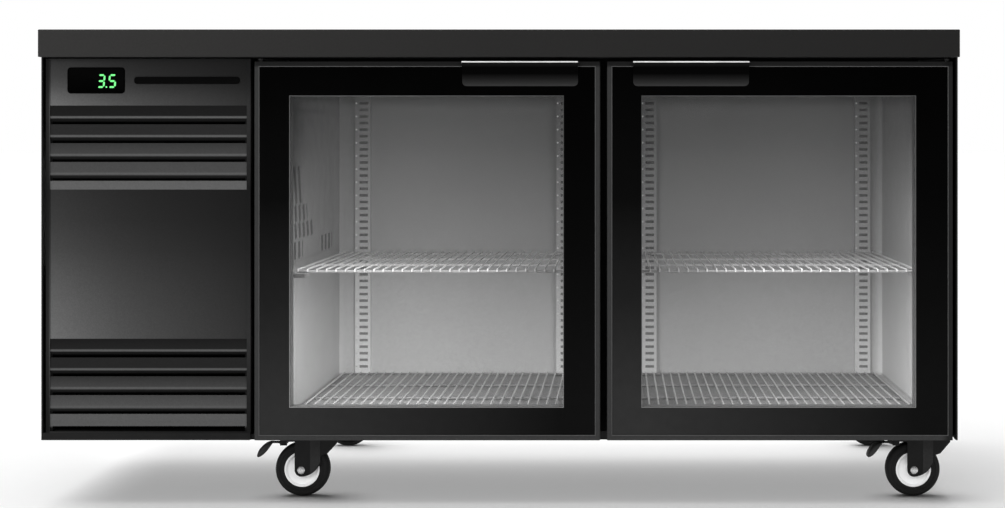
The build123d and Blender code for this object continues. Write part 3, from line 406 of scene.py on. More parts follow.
def painted_shade_coat(name, top, bottom, roughness=(0.5, 0.62)):
    """Inner walls with painted shade: lighter lower down, darker on the floor, darker beside the mullion,
    and darker at the left wall's front.
    """
    made = Finish(name, Specular_IOR_Level=0.25)
    low, high = limits("inner_liner", "Z")
    # painted shade: the floor darker than the walls, and the walls lighter lower down
    painted_floor_shade = bottom * 0.85
    tones = [(0.0, painted_floor_shade), (0.006, painted_floor_shade), (0.01, bottom), (0.45, (top + bottom) / 2), (1.0, top)]
    colour = made.ramp(made.along("Z", low, high), [(share, grey(tone)) for share, tone in tones])
    # painted shade across the width, darkest beside the mullion
    shares = [(0.0, 1.0), (0.12, 0.96), (0.25, 0.84), (0.42, 0.72), (0.56, 0.66), (0.68, 0.74),
              (0.97, 0.8), (0.99, 0.84), (1.0, 1.2)]
    across = made.ramp(made.along("X", *INSIDE_X), [(at, even(share)) for at, share in shares])
    wall_x = limits("evaporator_cover", "X")[1]
    wall_end = wall_x + 2.0 * MM
    # painted shade: darker towards the left wall's front
    beside_wall = made.ramp(made.along("X", wall_x, wall_end), [(0.3, grey(255)), (1.0, grey(0))])
    painted_wall_shade = made.ramp(made.along("Y", *LEFT_WALL_Y), [(0.0, even(0.58)), (1.0, even(1.05))])
    across = made.mix(beside_wall, across, painted_wall_shade)
    made.speckled(made.mix(1.0, colour, across, "MULTIPLY"), 160.0, 0.05)
    made.worn(*roughness)
    made.bumped(260.0, 0.1, 0.0003)
    return made.material


def worktop_coat(name):
    """Satin coat with painted shading that darkens it towards the right, and a painted highlight line along
    the top edge of its front.
    """
    made = Finish(name, Specular_IOR_Level=0.12)
    x, z = limits("worktop", "X"), limits("worktop", "Z")
    # painted shade, darker towards the right
    worktop_painted_shade = [(0.0, grey(43, 0.02)), (0.5, grey(33, 0.02)), (1.0, grey(27, 0.02))]
    # painted highlight line along the top edge of the front
    line = [(0.955, grey(0)), (0.975, grey(255)), (0.99, grey(255)), (1.0, grey(0))]
    across = made.ramp(made.along("X", *x), worktop_painted_shade)
    edge = made.ramp(made.along("Z", *z), line)
    lighter = made.mix(1.0, across, even(1.3), "MULTIPLY")
    made.speckled(made.mix(edge, across, lighter), 260.0, 0.1)
    made.worn(0.42, 0.52)
    made.bumped(900.0, 0.15)
    return made.material


def painted_shade_strip_coat(name):
    """Satin door frame with painted shade, darkest along its top and at the far right edge."""
    made = Finish(name, Specular_IOR_Level=0.15)
    z = limits("left_door_frame", "Z")
    edge = limits("right_door_frame", "X")[1]
    # painted shade along the top of the frame
    tones = [(0.0, 50), (0.5, 46), (0.986, 44), (0.989, 15), (1.0, 15)]
    upright = made.ramp(made.along("Z", *z), [(share, grey(tone)) for share, tone in tones])
    # painted shade towards the far right edge
    rim = (edge - 20.0 * MM, edge - 10.0 * MM)
    across = made.ramp(made.along("X", *rim), [(0.0, grey(255)), (1.0, grey(150))])
    made.speckled(made.mix(1.0, upright, across, "MULTIPLY"), 220.0, 0.12)
    made.worn(0.4, 0.52)
    made.bumped(900.0, 0.15)
    return made.material


def handle_coat(name):
    """Anodised pull with painted light and shade: light at the lower lip, black under the overhang, dark
    below the top edge.
    """
    made = Finish(name, Specular_IOR_Level=0.02)
    z = limits("left_door_handle", "Z")
    # painted light at the lower lip, painted shade under the overhang and below the top edge
    tones = [(0.0, 50), (0.1, 40), (0.3, 22), (0.5, 1), (0.75, 1), (0.88, 16), (1.0, 24)]
    colour = made.ramp(made.along("Z", *z), [(share, grey(tone)) for share, tone in tones])
    made.speckled(colour, 700.0, 0.08, (0.05, 1, 1))
    made.worn(0.35, 0.45)
    made.bumped(900.0, 0.1, stretch=(0.05, 1, 1))
    return made.material


def painted_reflection_border(name, side):
    """Black enamelled border on the glass, with a painted reflection that makes it lighter low down and
    towards the left.
    """
    made = Finish(name, roughness=0.2, Specular_IOR_Level=0.03)
    low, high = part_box(f"{side}_outer_glass")
    height = made.along("Z", low.z, high.z)
    lightest = {"left": 44, "right": 46}[side]
    # painted reflection: lighter low down
    tones = [(0.0, lightest), (0.1, lightest - 2), (0.37, 25), (0.64, 5), (1.0, 1)]
    upright = made.ramp(height, [(share, grey(tone)) for share, tone in tones])
    # painted reflection: lighter towards the left
    across = made.ramp(made.along("X", low.x, high.x), [(0.1, grey(255)), (0.9, grey(105))])
    made.speckled(made.mix(1.0, upright, across, "MULTIPLY"), 60.0, 0.06)
    made.worn(0.16, 0.24, 8.0)
    return made.material


def clear_glass(name, level, alpha):
    """Almost clear glass: a low alpha, so that it hides little."""
    made = Finish(name, Alpha=alpha, Specular_IOR_Level=0.4)
    tint = made.ramp(made.noise(3.0), [(0.3, grey(level)), (0.7, grey(level * 1.15))])
    made.speckled(tint, 40.0, 0.05)
    made.worn(0.02, 0.05, 5.0)
    return made.material


def glowing(name, colour, strength):
    """Lit digits, with a little variation in their colour."""
    made = Finish(name, roughness=0.3, Emission_Strength=strength)
    brighter = tuple(min(1.0, c * 1.1) for c in colour)
    tone = made.ramp(made.noise(500.0), [(0.2, colour), (0.8, brighter)])
    made.put(tone, "Emission Color")
    made.put(tone, "Base Color")
    return made.material


# Inner width of the cabinet, and the stretch of its left wall whose painted shade fades, in metres
INSIDE_X = (-0.4, 0.8)
LEFT_WALL_Y = (-0.27, 0.15)

# Louvre bands in millimetres: the top of each group, then the upper and lower painted shade tone of each
# band
BAND_PITCH = 34.5
PAINTED_BAND_TONES = (
    (731.5, ((17, 19), (32, 33), (47, 58), (62, 64), (83, 85))),
    (304.0, ((17, 26), (28, 28), (41, 59), (61, 72), (80, 78))),
)

MATERIALS = {
    "worktop_coat": worktop_coat("worktop_coat"),
    "core_board": plain("core_board", 9, (0.8, 0.9), scale=90.0, amount=0.25),
    "body_coat": plain("body_coat", 16, (0.35, 0.5), Specular_IOR_Level=0.2),
    "foam": plain("foam", 220, (0.85, 0.95), warmth=0.1, scale=120.0, amount=0.2),
    "liner_grey": painted_shade_coat("liner_grey", 84, 214),
    "frame_black": plain("frame_black", 4, (0.5, 0.65), Specular_IOR_Level=0.06),
    "bracket_steel": plain("bracket_steel", 40, (0.35, 0.5), 0.6),
    "pilaster_grey": painted_shade_coat("pilaster_grey", 94, 246, (0.35, 0.45)),
    "clip_steel": painted_shade_coat("clip_steel", 86, 205, (0.35, 0.45)),
    "cover_grey": painted_shade_coat("cover_grey", 72, 190, (0.4, 0.5)),
    "fin_aluminium": plain("fin_aluminium", 110, (0.4, 0.55), 0.5, stretch=(1, 1, 0.1)),
    "motor_black": plain("motor_black", 40, (0.3, 0.45)),
    "fan_plastic": plain("fan_plastic", 45, (0.45, 0.6)),
    "compressor_black": plain("compressor_black", 24, (0.15, 0.25), bump=(300.0, 0.2)),
    "grommet_rubber": plain("grommet_rubber", 32, (0.75, 0.9), bump=(500.0, 0.3)),
    "tray_steel": plain("tray_steel", 175, (0.3, 0.5), 0.85, scale=40.0, amount=0.3),
    "pipe_copper": plain("pipe_copper", 160, (0.25, 0.4), 0.9, warmth=0.55, scale=80.0),
    "box_plastic": plain("box_plastic", 38, (0.5, 0.65), bump=(700.0, 0.3)),
    # panel_coat: painted shading, with tones by height and a fall from left to right that stand in for the
    # panel's sheen
    "panel_coat": painted_shade_front_coat(
        "panel_coat",
        [(131.5, 30), (304.0, 96), (357.0, 88), (412.0, 76), (467.0, 60), (522.0, 47), (577.5, 39),
         (600.0, 60), (731.5, 94), (747.0, 84), (765.0, 66), (785.0, 52), (804.0, 44), (817.0, 38)],
        (-0.831, -0.456),
        [(0.0, 70), (0.016, 100), (0.02, 255), (0.17, 225), (0.34, 194), (0.5, 170), (0.67, 151),
         (0.84, 131), (1.0, 110)],
        (0.4, 0.5),
    ),
    "louvre_coat": painted_band_coat("louvre_coat"),
    "display_gloss": plain("display_gloss", 1, (0.3, 0.4), bump=(200.0, 0.02),
                           Specular_IOR_Level=0.02),
    "castor_black": plain("castor_black", 13, (0.35, 0.45), bump=(400.0, 0.15),
                          Specular_IOR_Level=0.2),
    "bolt_steel": plain("bolt_steel", 190, (0.25, 0.38), 0.9, scale=600.0),
    "door_frame_black": painted_shade_strip_coat("door_frame_black"),
    "inner_glass": clear_glass("inner_glass", 150, 0.06),
    "spacer_black": painted_shade_coat("spacer_black", 76, 176),
    "gasket_rubber": plain("gasket_rubber", 34, (0.6, 0.75), bump=(300.0, 0.2)),
    "handle_anodised": handle_coat("handle_anodised"),
    "shelf_wire": plain("shelf_wire", 206, (0.3, 0.42), 0.1, scale=500.0, amount=0.08),
    "hub_nylon": plain("hub_nylon", 246, (0.35, 0.5), scale=150.0, amount=0.02, bump=(200.0, 0.1)),
    "tyre_rubber": plain("tyre_rubber", 26, (0.55, 0.75), scale=300.0, bump=(600.0, 0.35),
                         Specular_IOR_Level=0.2),
    "pedal_plastic": plain("pedal_plastic", 56, (0.5, 0.65), bump=(900.0, 0.35),
                           Specular_IOR_Level=0.2),
}

# Finishes that only the pieces below use
# painted highlight along the pull's top lip
handle_painted_highlight = plain("handle_bright_edge", 236, (0.2, 0.3), 0.1, scale=700.0, stretch=(0.05, 1, 1))
shelf_rod = plain("shelf_rod", 150, (0.35, 0.45), 0.1, scale=500.0, amount=0.08)
# painted shadow for the evaporator cover's slots
slot_fill = painted_shade_coat("slot_fill", 42, 110)
# painted highlight along the glass window's edge
glass_edge_highlight = painted_shade_coat("glass_edge_line", 74, 140)
# painted highlight line on the door's edge bead
bead_painted_highlight = plain("door_edge_line", 80, (0.3, 0.4), scale=300.0)
slot_painted_shadow = painted_shade_coat("slot_shadow", 40, 150)
dimple_light = plain("dimple_light", 205, (0.3, 0.4), 0.2)
# painted highlight along the castor fork's bend
fork_bend_highlight = plain("castor_bend", 36, (0.35, 0.45), bump=(400.0, 0.15), Specular_IOR_Level=0.2)
badge_black = plain("badge_black", 2, (0.5, 0.6), Specular_IOR_Level=0.05)
filter_felt = plain("filter_felt", 5, (0.9, 0.95), bump=(500.0, 0.4), Specular_IOR_Level=0.05)
digit_green = glowing("digit_green", (0.1, 0.52, 0.14, 1), 1.05)
axle_silver = plain("axle_silver", 214, (0.22, 0.35), 0.7, scale=600.0)

for name, node in nodes.items():
    slots = [s["material_slot"] for s in frame["record"]["subparts"] if s["node"] == name]
    if slots and slots[0] in MATERIALS:
        node.data.materials.clear()
        node.data.materials.append(MATERIALS[slots[0]])


# ---------------------------------------------------------------------------------------------
# Wire shelves
# ---------------------------------------------------------------------------------------------


def wire_shelf(name):
    x, y, z = (limits(name, axis) for axis in "XYZ")
    wire, rod = 1.6 * MM, 2.5 * MM
    pitch, nose = 18.0 * MM, 2.6 * MM
    corner = 14.0 * MM
    wire_z = z[1] - wire
    rod_z = wire_z - wire - rod + 0.3 * MM
    rim_x, rim_y = inset(x, rod), (y[0] + rod + 2 * wire, y[1] - rod)
    shape = Shape()
    rim = [(a, b, rod_z) for a, b in rounded(rim_x, rim_y, corner)]
    shape.tube(rim, rod, 12, closed=True, paint=1)
    for share in (1 / 3, 2 / 3):
        rod_y = rim_y[0] + share * (rim_y[1] - rim_y[0])
        shape.tube([(rim_x[0], rod_y, rod_z), (rim_x[1], rod_y, rod_z)], rod, 12, paint=1)
    count = int((x[1] - x[0] - 4 * rod) / pitch) + 1
    start = middle(x) - (count - 1) * pitch / 2
    for index in range(count):
        at = start + index * pitch
        front = y[0] + wire
        path = [(at, front, z[0] + wire), (at, front, wire_z - nose)]
        for step in (1, 2, 3):
            turn = radians(step * 30)
            path.append((at, front + nose * (1 - cos(turn)), wire_z - nose * (1 - sin(turn))))
        path.append((at, y[1] - wire, wire_z))
        shape.tube(path, wire, 8)
    shape.build(f"{name}_wires", name, [MATERIALS["shelf_wire"], shelf_rod], [name])


for side in SIDES:
    for level_name in ("lower", "middle"):
        wire_shelf(f"{side}_{level_name}_shelf")


# ---------------------------------------------------------------------------------------------
# Slotted pilasters
# ---------------------------------------------------------------------------------------------


def back_pilaster(shape, x):
    """Folded strip with a ladder of slots and a row of small bosses beside them."""
    back = limits("inner_liner", "Y")[1] - 1.2 * MM
    front = back - 12.0 * MM
    bottom, top = limits("shelf_pilasters", "Z")
    pitch, sheet = 14.65 * MM, 2.0 * MM
    half, slot_half, slot_height = 17.0 * MM, 9.5 * MM, 6.0 * MM
    slot_x = x + 2.0 * MM
    centre, reach = middle((bottom, top)), 20
    face_y = (front, front + sheet)
    shape.box((x - half, slot_x - slot_half), face_y, (bottom, top))
    shape.box((slot_x + slot_half, x + half), face_y, (bottom, top))
    for edge in (-1, 1):
        flange = sorted((x + edge * half, x + edge * (half - sheet)))
        shape.box(flange, (front + sheet, back), (bottom, top))
    levels = [centre + step * pitch for step in range(-reach, reach + 1)]
    for level, above in zip(levels, levels[1:]):
        bridge = (level + slot_height / 2, above - slot_height / 2)
        shape.box((slot_x - slot_half, slot_x + slot_half), face_y, bridge)
    shape.box((slot_x - slot_half, slot_x + slot_half), face_y, (bottom, levels[0] - slot_height / 2))
    shape.box((slot_x - slot_half, slot_x + slot_half), face_y, (levels[-1] + slot_height / 2, top))
    # a dark sheet behind the slots is painted shadow, standing in for the shade inside them
    shape.box((slot_x - slot_half - MM, slot_x + slot_half + MM), (front + 3.0 * MM, front + 3.4 * MM),
              (bottom + MM, top - MM), 1)
    # the bosses are coloured lighter than the strip, a painted highlight
    boss = [(0.01, 0.2), (2.0, 0.2), (1.6, -0.7), (0.8, -1.1), (0.01, -1.2)]
    for level in levels[::2]:
        shape.lathe(scaled(boss), (x - half + 3.0 * MM, front, level), "Y", 10, 2)


BACK_PILASTERS_X = (-352.0, 96.0, 285.0, 761.0)
MULLION_PILASTERS_X = (164.0, 219.0)
WALL_PILASTERS_Y = (-0.279, -0.250)
FRONT_PILASTER_DEPTH = 6 * MM
FRONT_PILASTER_HALF = 14 * MM

pilasters = Shape()
for x in BACK_PILASTERS_X:
    back_pilaster(pilasters, x * MM)
pilaster_z = limits("shelf_pilasters", "Z")
frame_back = limits("front_frame", "Y")[1]
for x in MULLION_PILASTERS_X:
    across = (x * MM - FRONT_PILASTER_HALF, x * MM + FRONT_PILASTER_HALF)
    pilasters.box(across, (frame_back, frame_back + FRONT_PILASTER_DEPTH), pilaster_z)
inside_x = limits("shelf_pilasters", "X")
left_strip_x = (inside_x[0], inside_x[0] + FRONT_PILASTER_DEPTH)
right_strip_x = (inside_x[1] - FRONT_PILASTER_DEPTH, inside_x[1])
for strip_x in (left_strip_x, right_strip_x):
    pilasters.box(strip_x, WALL_PILASTERS_Y, pilaster_z)
pilasters.build("shelf_pilaster_strips", "cabinet", [MATERIALS["pilaster_grey"], slot_painted_shadow, dimple_light],
                ["shelf_pilasters"])


# ---------------------------------------------------------------------------------------------
# Painted shadow in the slots of the evaporator cover
# ---------------------------------------------------------------------------------------------


def slot_row(shape, start, end, bottom, top, lean):
    """Painted shadow strokes over pairs of slots, standing in for the shade inside them, with every third
    slot filled to the level of the cover.

    Start and end run back from the cover's front edge, bottom and top run up from its lower edge.
    """
    low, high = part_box("evaporator_cover")
    pitch, narrow = 13.0, 2.9
    wide = narrow + pitch / 2
    count = int((end - start) / pitch)
    turn = radians(lean)
    reach = (top - bottom) / 2

    def stroke(place_in_row, half, level, paint):
        at = (start + end) / 2 + (place_in_row - (count - 1) / 2) * pitch
        flat = half - narrow
        corners = ((-half, narrow - reach), (-flat, -reach), (flat, -reach), (half, narrow - reach),
                   (half, reach - narrow), (flat, reach), (-flat, reach), (-half, reach - narrow))
        outline = []
        for across, up in corners:
            y = at + across * cos(turn) - up * sin(turn)
            z = (bottom + top) / 2 + across * sin(turn) + up * cos(turn)
            outline.append((low.y + y * MM, low.z + z * MM))
        shape.prism(outline, high.x - SLOT_SHADOW_DEPTH, high.x + level * MM, "X", paint)

    for index in range(0, count, 3):
        if index + 1 < count:
            stroke(index + 0.5, wide, 0.15, 0)
        else:
            stroke(index, narrow, 0.15, 0)
        if index + 2 < count:
            stroke(index + 2, narrow, 0.02, 1)


# Rows of slots in millimetres: start, end, bottom and top, then the lean of a slot in degrees
SLOT_ROWS = (
    (14.0, 96.0, 110.0, 184.0, 16.0), (14.0, 151.0, 76.0, 108.0, 16.0), (14.0, 216.0, 44.0, 74.0, 16.0),
    (10.0, 106.0, 5.0, 38.0, 0.0), (282.0, 424.0, 5.0, 38.0, 0.0),
)
SLOT_SHADOW_DEPTH = 1.4 * MM

slot_shadow_strokes = Shape()
for row in SLOT_ROWS:
    slot_row(slot_shadow_strokes, *row)
slot_shadow_strokes.build("evaporator_slot_inlays", "cabinet", [slot_fill, MATERIALS["cover_grey"]])


# ---------------------------------------------------------------------------------------------
# Temperature display
# ---------------------------------------------------------------------------------------------

SEGMENTS = {"3": "abcdg", "5": "acdfg"}
DIGIT_DEPTH = 0.4 * MM


def digit(shape, text, x, z, height, y):
    """Seven-segment digit, leaning a little, on the front of the display."""
    width, bar, lean = height * 0.5, height * 0.15, 0.1
    half = height / 2
    gap = bar * 0.22
    runs = {
        "a": ((0, height), (width, height)), "b": ((width, half), (width, height)),
        "c": ((width, 0), (width, half)), "d": ((0, 0), (width, 0)),
        "f": ((0, half), (0, height)), "g": ((0, half), (width, half)),
    }
    for key in SEGMENTS[text]:
        start, end = (Vector((*p, 0)) for p in runs[key])
        along = (end - start).normalized()
        across = Vector((-along.y, along.x, 0)) * bar / 2
        start, end = start + along * gap, end - along * gap
        tip = along * bar / 2
        outline = [start, start + tip + across, end - tip + across,
                   end, end - tip - across, start + tip - across]
        flat = [(x + p.x + lean * p.y, z + p.y) for p in outline]
        shape.prism(flat, y, y + DIGIT_DEPTH, "Y")


display_x = (-792.0 * MM, -686.5 * MM)
display_z = (753.5 * MM, 801.5 * MM)
display_front = limits("display_module", "Y")[0]
display_corner = 6.5 * MM
behind_panel = (display_front + 1.5 * MM, display_front + 17.0 * MM)
screen = Shape()
rings = []
# Each ring of the bezel: how far it is trimmed from the outline, and its depth
for trim, y in scaled(((0.0, 1.5), (0.0, -0.6), (0.6, -1.1), (2.2, -1.1), (2.8, -0.5), (3.4, -0.3))):
    outline = rounded(inset(display_x, trim), inset(display_z, trim), display_corner - trim)
    rings.append([(a, display_front + y, b) for a, b in outline])
screen.loft(rings)
screen.box(inset(display_x, 4 * MM), behind_panel, inset(display_z, 4 * MM))
screen.build("display_screen", "cabinet", MATERIALS["display_gloss"], ["display_module"])

digits = Shape()
digit_y = display_front - 0.6 * MM
digit_z, digit_height = 765.4 * MM, 21.8 * MM
digit(digits, "3", -736.6 * MM, digit_z, digit_height, digit_y)
digit(digits, "5", -716.2 * MM, digit_z, digit_height, digit_y)
dot_x, dot_radius = -720.6 * MM, 1.5 * MM
digits.prism(circle((dot_x, digit_z), dot_radius, 12), digit_y, digit_y + DIGIT_DEPTH, "Y")
digits.build("display_digits", "cabinet", digit_green)


# ---------------------------------------------------------------------------------------------
# Blank badge and air filters
# ---------------------------------------------------------------------------------------------

panel_front = limits("service_panel", "Y")[0]
badge_x = (display_x[1] + 17.5 * MM, limits("louvre_inserts", "X")[1] - 13.0 * MM)
badge_half = 6.5 * MM
badge_z = (middle(display_z) - badge_half, middle(display_z) + badge_half)
badge_corner = 5.0 * MM
badge_back = panel_front + 0.4 * MM
badge = Shape()
rings = []
for trim, lift in scaled(((0.0, 0.0), (0.0, 0.5), (0.5, 0.9))):
    outline = rounded(inset(badge_x, trim), inset(badge_z, trim), badge_corner - trim)
    rings.append([(a, badge_back - lift, b) for a, b in outline])
badge.loft(rings)
badge.build("fascia_badge_bar", "cabinet", badge_black)


def filter_mat(name, z):
    """Pleated felt behind a louvre, in a thin rim."""
    x = inset(limits("louvre_inserts", "X"), 3.0 * MM)
    front, back = -0.318, -0.304
    pleat, fold_depth, thickness = 6.0 * MM, 7.0 * MM, 5.0 * MM
    rim_out, rim_in = -1.0 * MM, 4.0 * MM
    count = int((x[1] - x[0]) / pleat)
    folds = [(x[0] + step * (x[1] - x[0]) / count, front if step % 2 else front + fold_depth)
             for step in range(count + 1)]
    outline = folds + [(a, b + thickness) for a, b in reversed(folds)]
    mat = Shape()
    mat.prism(outline, z[0], z[1], "Z")
    rim = [(rim_out, front), (rim_in, front), (rim_in, back), (rim_out, back)]
    mat.frame_ring(rim, x, z)
    mat.build(name, "cabinet", filter_felt)


for band_top, tones in PAINTED_BAND_TONES:
    bottom = band_top - len(tones) * BAND_PITCH
    filter_mat(f"filter_mat_{int(band_top)}", (bottom * MM, band_top * MM))


# ---------------------------------------------------------------------------------------------
# Doors
# ---------------------------------------------------------------------------------------------


def rectangle(x, z, y):
    """Corners of an upright rectangle."""
    return [(x[0], y, z[0]), (x[1], y, z[0]), (x[1], y, z[1]), (x[0], y, z[1])]


def door_pieces(side):
    """Enamelled border with a bevelled window whose edge is a painted highlight line, the clear pane in it,
    and a bead on the door's edge painted light as a highlight line.
    """
    body = f"{side}_door"
    door_x, door_z = (limits(f"{side}_door_frame", axis) for axis in "XZ")
    glass_x, glass_y, glass_z = (limits(f"{side}_outer_glass", axis) for axis in "XYZ")
    window_x, window_z = (inset(limits(f"{side}_glass_spacer", axis), 6 * MM) for axis in "XZ")

    border = Shape()
    window_edge, window_step, outer_edge = 1.3 * MM, 0.5 * MM, 0.4 * MM
    front, back = glass_y
    around_window = rectangle(inset(window_x, -window_edge), inset(window_z, -window_edge), front)
    rings = [
        rectangle(glass_x, glass_z, back),
        rectangle(glass_x, glass_z, front + outer_edge),
        rectangle(inset(glass_x, outer_edge), inset(glass_z, outer_edge), front),
        around_window,
    ]
    edge = [
        around_window,
        rectangle(window_x, window_z, front + window_step),
        rectangle(window_x, window_z, back),
    ]
    border.loft(rings, 0, capped=False)
    # the window's bevelled edge carries a painted highlight line
    border.loft(edge[:2], 1, capped=False)
    border.loft(edge[1:], 0, capped=False)
    border.loft([edge[-1], rings[0]], 0, capped=False)
    enamel = painted_reflection_border(f"{side}_glass_enamel", side)
    border.build(f"{side}_glass_border", body, [enamel, glass_edge_highlight],
                 [f"{side}_outer_glass"], sharp=20.0)

    pane = Shape()
    pane.box(window_x, (front + 0.8 * MM, back), window_z)
    pane.build(f"{side}_glass_pane", body, clear_glass(f"{side}_pane_glass", 30, 0.05))

    # Section of the bead, painted light as a highlight line: inset from the door's edge, and depth from the
    # glass
    section = [(8.3, -0.8), (8.7, -1.35), (9.3, -1.35), (9.7, 0.1), (8.9, 0.3)]
    line = Shape()
    line.frame_ring([(a, front + b) for a, b in scaled(section)], door_x, door_z)
    line.build(f"{side}_door_edge_bead", body, bead_painted_highlight)


for side in SIDES:
    door_pieces(side)


def handle(side):
    """Pull with a curved hollow, a painted highlight line along its top edge and round lower corners."""
    name = f"{side}_door_handle"
    x, y, z = (limits(name, axis) for axis in "XYZ")
    front, top, bottom = y[0], z[1], z[0]
    flat = limits(f"{side}_door_frame", "Y")[0]
    foot, overhang = 1.8 * MM, 12.2 * MM
    hollow_bottom, hollow_top, hollow_curve = 3.0 * MM, 38.0 * MM, 2.6
    section = [(flat, bottom), (flat - 1.2 * MM, bottom), (flat - foot, bottom + 1.5 * MM)]
    steps = 10
    for s in range(steps + 1):
        t = s / steps
        section.append((
            flat - foot - (overhang - foot) * t ** hollow_curve,
            bottom + hollow_bottom + (hollow_top - hollow_bottom) * t,
        ))
    lip = scaled([(0.3, -3.0), (0.0, -2.2), (0.0, -0.9), (0.8, -0.1), (1.6, 0.0)])
    section += [(front + a, top + b) for a, b in lip] + [(flat, top)]
    radius, corner_steps = 8.0 * MM, 6
    shape = Shape()
    rings = []
    stations = []
    for s in range(corner_steps + 1):
        turn = radians(90 * s / corner_steps)
        stations.append((x[0] + radius * (1 - cos(turn)), radius * (1 - sin(turn))))
    stations += [(x[0] + x[1] - at, lift) for at, lift in reversed(stations)]
    for at, lift in stations:
        rings.append([(at, a, max(b, bottom + lift)) for a, b in section])
    count = len(section)
    for end_ring in (rings[0], rings[-1]):
        shape.add(end_ring, [tuple(range(count))])
    # the lip's faces take the painted highlight
    highlight_from = count - len(lip)
    for a in range(len(rings) - 1):
        for i in range(count):
            j = (i + 1) % count
            quad = [rings[a][i], rings[a][j], rings[a + 1][j], rings[a + 1][i]]
            shape.add(quad, [(0, 1, 2, 3)], 1 if highlight_from <= i < count - 1 else 0)
    shape.box(inset(x, 10 * MM), (flat, flat + MM), inset(z, 9.5 * MM))
    shape.build(f"{name}_grip", f"{side}_door", [MATERIALS["handle_anodised"], handle_painted_highlight],
                [name])


for side in SIDES:
    handle(side)


def gasket(side):
    """Soft bellows ring with a magnet bead, pressed a little at rest."""
    name = f"{side}_door_gasket"
    x, y, z = (limits(name, axis) for axis in "XYZ")
    door, face = y
    depth = face - door
    # Inset in millimetres, and share of the depth
    section = [(3.0, 0.0), (9.0, 0.0), (9.0, 0.12), (8.0, 0.2), (10.6, 0.34), (10.6, 0.42),
               (8.6, 0.52), (11.2, 0.66), (11.6, 0.95), (10.8, 1.0), (1.2, 1.0), (0.4, 0.95),
               (0.8, 0.66), (3.4, 0.52), (1.4, 0.42), (1.4, 0.34), (4.0, 0.2), (3.0, 0.12)]
    shape = Shape()
    shape.frame_ring([(a * MM, door + b * depth) for a, b in section], x, z)
    shape.build(f"{name}_bellows", f"{side}_door", MATERIALS["gasket_rubber"],
                [name], sharp=50.0)


for side in SIDES:
    gasket(side)


# ---------------------------------------------------------------------------------------------
# Castors
# ---------------------------------------------------------------------------------------------


# All castor sizes are in millimetres; levels along an axis are counted from its centre line
TYRE_HALF = [(33.0, 12.6), (33.8, 14.2), (35.4, 14.9), (37.6, 14.6), (38.4, 13.7), (41.0, 13.6),
             (41.8, 14.5), (44.4, 14.3), (47.2, 13.0), (49.2, 10.8), (50.4, 7.6), (50.9, 4.0)]
TYRE_GROOVE = [(51.0, 1.2), (50.4, 0.8), (50.4, -0.8), (51.0, -1.2)]
HUB_HALF = [(5.1, 13.5), (12.6, 13.5), (13.8, 12.9), (14.4, 9.6), (16.0, 8.6), (26.4, 8.6),
            (28.2, 9.8), (29.0, 12.6), (30.0, 13.4), (32.0, 13.4), (33.0, 12.6)]
TRAIL = 26.0
LEG_INSIDE, LEG_OUTSIDE = 17.0, 20.0
LEG_BACK, LEG_END_RADIUS, LEG_END_HEIGHT = 38.5, 12.5, 51.0
CROWN_FRONT, CROWN_TOP = 42.0, 110.0
RACE = [(0.1, 110.0), (25.0, 110.0), (26.0, 111.2), (26.0, 115.6), (24.6, 117.0), (6.0, 117.0),
        (6.0, 124.0), (0.1, 124.0)]
# outline of the lighter strip on each leg, a painted highlight along the bend
BEND_HIGHLIGHT = [(-9.5, 109.0), (9.5, 109.0), (9.5, 66.0), (4.0, 57.0), (-4.0, 48.0), (-9.5, 44.0)]
BEND_THICKNESS = 0.5
AXLE = [(0.1, -20.0), (5.0, -20.0), (5.0, 20.0), (0.1, 20.0)]
AXLE_HEAD = [(0.1, -24.0), (4.0, -23.9), (6.2, -23.0), (7.2, -21.6), (7.2, -20.0), (0.1, -20.0)]
NUT_RADIUS, NUT_DEPTH = 8.0, 5.0
PEDAL_PIVOT = (-60.0, 101.0)
PEDAL_PIN = [(0.1, -20.6), (3.0, -20.6), (3.0, 20.6), (0.1, 20.6)]
PEDAL_BOSS = [(3.05, -7.0), (5.5, -7.0), (5.5, 7.0), (3.05, 7.0)]
PEDAL_ARM = [(0.0, 5.0), (-8.0, 2.0), (-12.0, 0.2), (-24.0, 0.2), (-24.0, -2.0), (-12.0, -2.0),
             (-3.0, -5.0)]
PEDAL_ARM_HALF = 7.0
# Stations of the paddle: centre across and up, half width, half thickness
PEDAL_LEAF = [(-21.0, -0.3, 8.0, 1.4), (-26.5, -1.6, 12.0, 3.0), (-31.5, -5.0, 14.5, 4.9),
              (-36.0, -9.6, 15.0, 6.0), (-41.0, -15.6, 15.0, 6.4), (-45.4, -21.4, 14.6, 5.4),
              (-48.8, -25.6, 12.4, 3.4), (-50.4, -27.6, 9.0, 1.3)]


def mirrored(half):
    """The other half of a wheel's profile."""
    return [(radius, -level) for radius, level in reversed(half)]


def signed_power(value, power):
    """Power of a value's size, with its sign kept."""
    return abs(value) ** power * (1 if value >= 0 else -1)


def leg_outline():
    """Leg from the crown down to a round end about the axle, and the ear that holds the pedal."""
    steps = 8
    outline = [(-LEG_BACK, 104.0), (-LEG_BACK, LEG_END_HEIGHT)]
    for step in range(1, steps + 1):
        turn = radians(180 + 90 * step / steps)
        outline.append((LEG_END_RADIUS * cos(turn) - TRAIL, LEG_END_HEIGHT + LEG_END_RADIUS * sin(turn)))
    foot = LEG_END_HEIGHT - LEG_END_RADIUS
    for step in range(1, steps + 1):
        t = step / steps
        outline.append((36.0 * t + 4.0 * sin(pi * t) - TRAIL, foot + 25.5 * t ** 1.7))
    outline += [(10.0, 78.0), (23.0, 82.0), (CROWN_FRONT, 104.0), (CROWN_FRONT, CROWN_TOP)]
    return outline + [(-66.0, CROWN_TOP), (-66.0, 97.0), (-53.0, 97.0), (-53.0, 104.0)]


